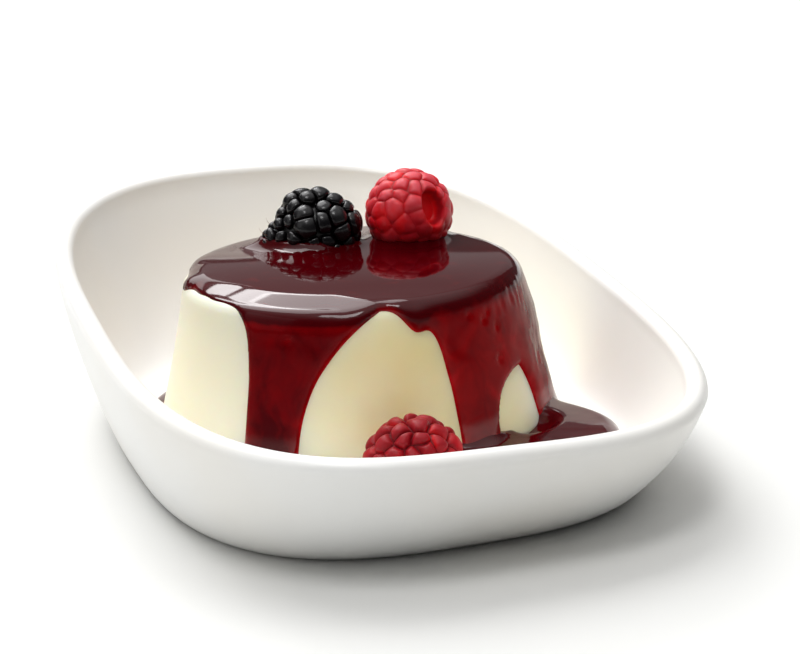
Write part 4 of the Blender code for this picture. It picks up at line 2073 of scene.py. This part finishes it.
    def _add_core(self, bm: bmesh.types.BMesh, crown: bmesh.types.BMLayerItem,
                  tone: bmesh.types.BMLayerItem) -> None:
        """Add the body that the drupelets sit on.

        Args:
            bm: the berry.
            crown: the layer for how near a point is to a crown.
            tone: the layer for the shade.
        """
        tilt, base = self.axes(), Vector(self.centre)
        for vert in add_ball(bm, self.core_detail):
            polar, point, out = self._toward(vert.co.normalized())
            point -= out * self.pitch * self._share(polar) * self.core_depth
            vert.co = base + tilt @ point
            # The core takes a crown number near 0, so the skin paints it with the cleft's shade.
            vert[crown], vert[tone] = self.core_tints


DARK_BERRY = Berry(
    "dark_berry_fruit", "dark_berry", (-2.9, 20.8, 39.2), (10.9, 9.0), (-0.92, 0.30, -0.25),
    36.0, DARK_SKIN, pitch=4.7, stride=4.3, taper=0.5, head_share=0.6, plumpness=0.66,
    spread=0.63, squeeze=0.75, scatter=1.6, warp=0.25, threads=10, mound=1.4, mound_end=6.0,
    seed=4)
UPPER_RASPBERRY = Berry(
    "raspberry_upper", "raspberry_top", (17.6, 17.6, 41.8), (9.2, 9.3), (0.337, -0.888, 0.293),
    36.0, RED_SKIN, pitch=3.4, stride=4.6, mouth=30.0, pit=3.4, hollow=(2.8, 3.9), fused=True,
    groove=0.36, scatter=1.7, warp=0.75, threads=0, mound=0.3, seed=8)
LOWER_RASPBERRY = Berry(
    "raspberry_lower", "raspberry_front", (-5.5, -48.4, 12.2), (8.1, 9.3), (-0.2, -0.35, 0.9),
    5.6, RIPE_SKIN, pitch=3.9, stride=5.0, taper=0.16, mouth=20.0, fused=True, groove=0.9,
    groove_width=1.0, bulge=0.3, scatter=1.7, warp=0.7, threads=0, seed=15)


# ----------------------------------------------------------------------------------------- studio


@dataclass(frozen=True)
class Softbox:
    """A rectangular soft light that faces the bowl, at a distance and of a size in metres."""

    name: str
    azimuth: float
    elevation: float
    distance: float
    width: float
    height: float
    radiance: float

    def add(self, aim: Vector) -> None:
        """Hang the light.

        Args:
            aim: where it faces.
        """
        turn, rise = math.radians(self.azimuth), math.radians(self.elevation)
        level = math.cos(rise)
        away = Vector((level * math.cos(turn), level * math.sin(turn), math.sin(rise)))
        light = bpy.data.lights.new(self.name, "AREA")
        light.shape = "RECTANGLE"
        light.size, light.size_y = self.width, self.height
        light.energy = self.radiance * math.pi * self.width * self.height
        lamp = bpy.data.objects.new(self.name, light)
        facing = away.to_track_quat("Z", "Y").to_matrix().to_4x4()
        lamp.matrix_world = Matrix.Translation(aim + away * self.distance) @ facing
        bpy.context.scene.collection.objects.link(lamp)


@dataclass(frozen=True)
class Studio:
    """A white table, soft lights and the camera."""

    azimuth: float = -18.33
    elevation: float = 15.92
    distance: float = 420.0
    roll: float = -2.02
    aim: tuple[float, float, float] = (9.13, 0.75, 22.37)
    lens: float = 93.51
    sensor: float = 36.0
    clip: Pair = (0.01, 50.0)
    low_air: float = 0.07
    high_air: float = 1.0
    air_levels: Pair = (0.42, 0.88)
    front_dusk: float = 0.1
    front_way: Pair = (0.31, 0.95)
    front_ends: Pair = (0.2, -0.6)
    table_size: float = 6.0
    table_white: Colour = linear(227, 227, 225)
    table_roughness: float = 0.9
    table_gloss: float = 0.1
    light_aim: tuple[float, float, float] = (0.0, 0.0, 0.02)
    lights: tuple[Softbox, ...] = (
        Softbox("overhead", 106.0, 61.0, 1.5, 1.1, 1.1, 4.2),
        Softbox("back_strip", 94.0, 38.0, 1.5, 0.85, 0.22, 8.5),
        Softbox("back_left", 98.0, 20.0, 1.5, 0.7, 0.35, 1.4),
        Softbox("front_high", 234.0, 64.0, 1.5, 0.4, 0.4, 10.5),
        Softbox("left_panel", 186.0, 26.0, 1.2, 0.8, 0.7, 0.7),
        Softbox("back_wall", 74.0, 21.0, 2.4, 2.4, 1.1, 0.22),
    )

    def set_up(self) -> None:
        """Put up the table, the lights and the camera."""
        bpy.context.scene.view_settings.view_transform = "Standard"
        self._add_air()
        for light in self.lights:
            light.add(Vector(self.light_aim))
        self._add_table()
        self._add_camera()

    def _add_air(self) -> None:
        """Light the scene from all round: bright above, dim low down and in front."""
        bpy.context.scene.world = bpy.data.worlds.new("studio_air")
        air = ShaderSheet(bpy.context.scene.world)
        across = air.node("ShaderNodeTexCoord").outputs["Generated"]
        parts = air.node("ShaderNodeSeparateXYZ", None, {0: across}).outputs
        east, north, rise = (Number(air, parts[axis]) for axis in "XYZ")
        before = east * self.front_way[0] + north * self.front_way[1]
        dusk = before.stretch(*self.front_ends) * self.front_dusk
        bright = (rise - dusk).stretch(*self.air_levels)
        air.wear(Color=(1.0, 1.0, 1.0), Strength=bright.between(self.low_air, self.high_air))

    def _add_table(self) -> None:
        """Lay a plain white table top."""
        bm = bmesh.new()
        bmesh.ops.create_grid(bm, x_segments=1, y_segments=1, size=self.table_size)
        sheet = ShaderSheet.named("table_white")
        sheet.wear(Base_Color=self.table_white, Roughness=self.table_roughness,
                   Specular_IOR_Level=self.table_gloss)
        place_mesh(bm, "table_top", sheet.material)

    def _add_camera(self) -> None:
        """Place the camera."""
        turn, rise, roll = (math.radians(a) for a in (self.azimuth, self.elevation, self.roll))
        level = math.cos(rise)
        back = Vector((math.sin(turn) * level, -math.cos(turn) * level, math.sin(rise)))
        side = (-back).cross(UP).normalized()
        upright = side.cross(-back)
        right = side * math.cos(roll) + upright * math.sin(roll)
        above = upright * math.cos(roll) - side * math.sin(roll)
        camera = bpy.data.cameras.new("camera")
        camera.lens, camera.sensor_width = self.lens, self.sensor
        camera.clip_start, camera.clip_end = self.clip
        holder = bpy.data.objects.new("camera", camera)
        turned = Matrix((right, above, back)).transposed().to_4x4()
        place = (Vector(self.aim) + back * self.distance) * METRES
        holder.matrix_world = Matrix.Translation(place) @ turned
        bpy.context.scene.collection.objects.link(holder)
        bpy.context.scene.camera = holder


def main() -> None:
    """Build the dessert, dress it and light it."""
    logging.basicConfig(level=logging.INFO, format="%(name)s: %(message)s")
    cream = CreamForm()
    Bowl().build(GlazedPorcelain())
    cream.build(SetCream())
    sauce = BerrySauce().material()
    SauceForm(cream).build((DARK_BERRY, UPPER_RASPBERRY), sauce)
    PoolForm(cream).build(sauce)
    for berry in (DARK_BERRY, UPPER_RASPBERRY, LOWER_RASPBERRY):
        berry.build()
    Studio().set_up()


if __name__ == "__main__":
    main()
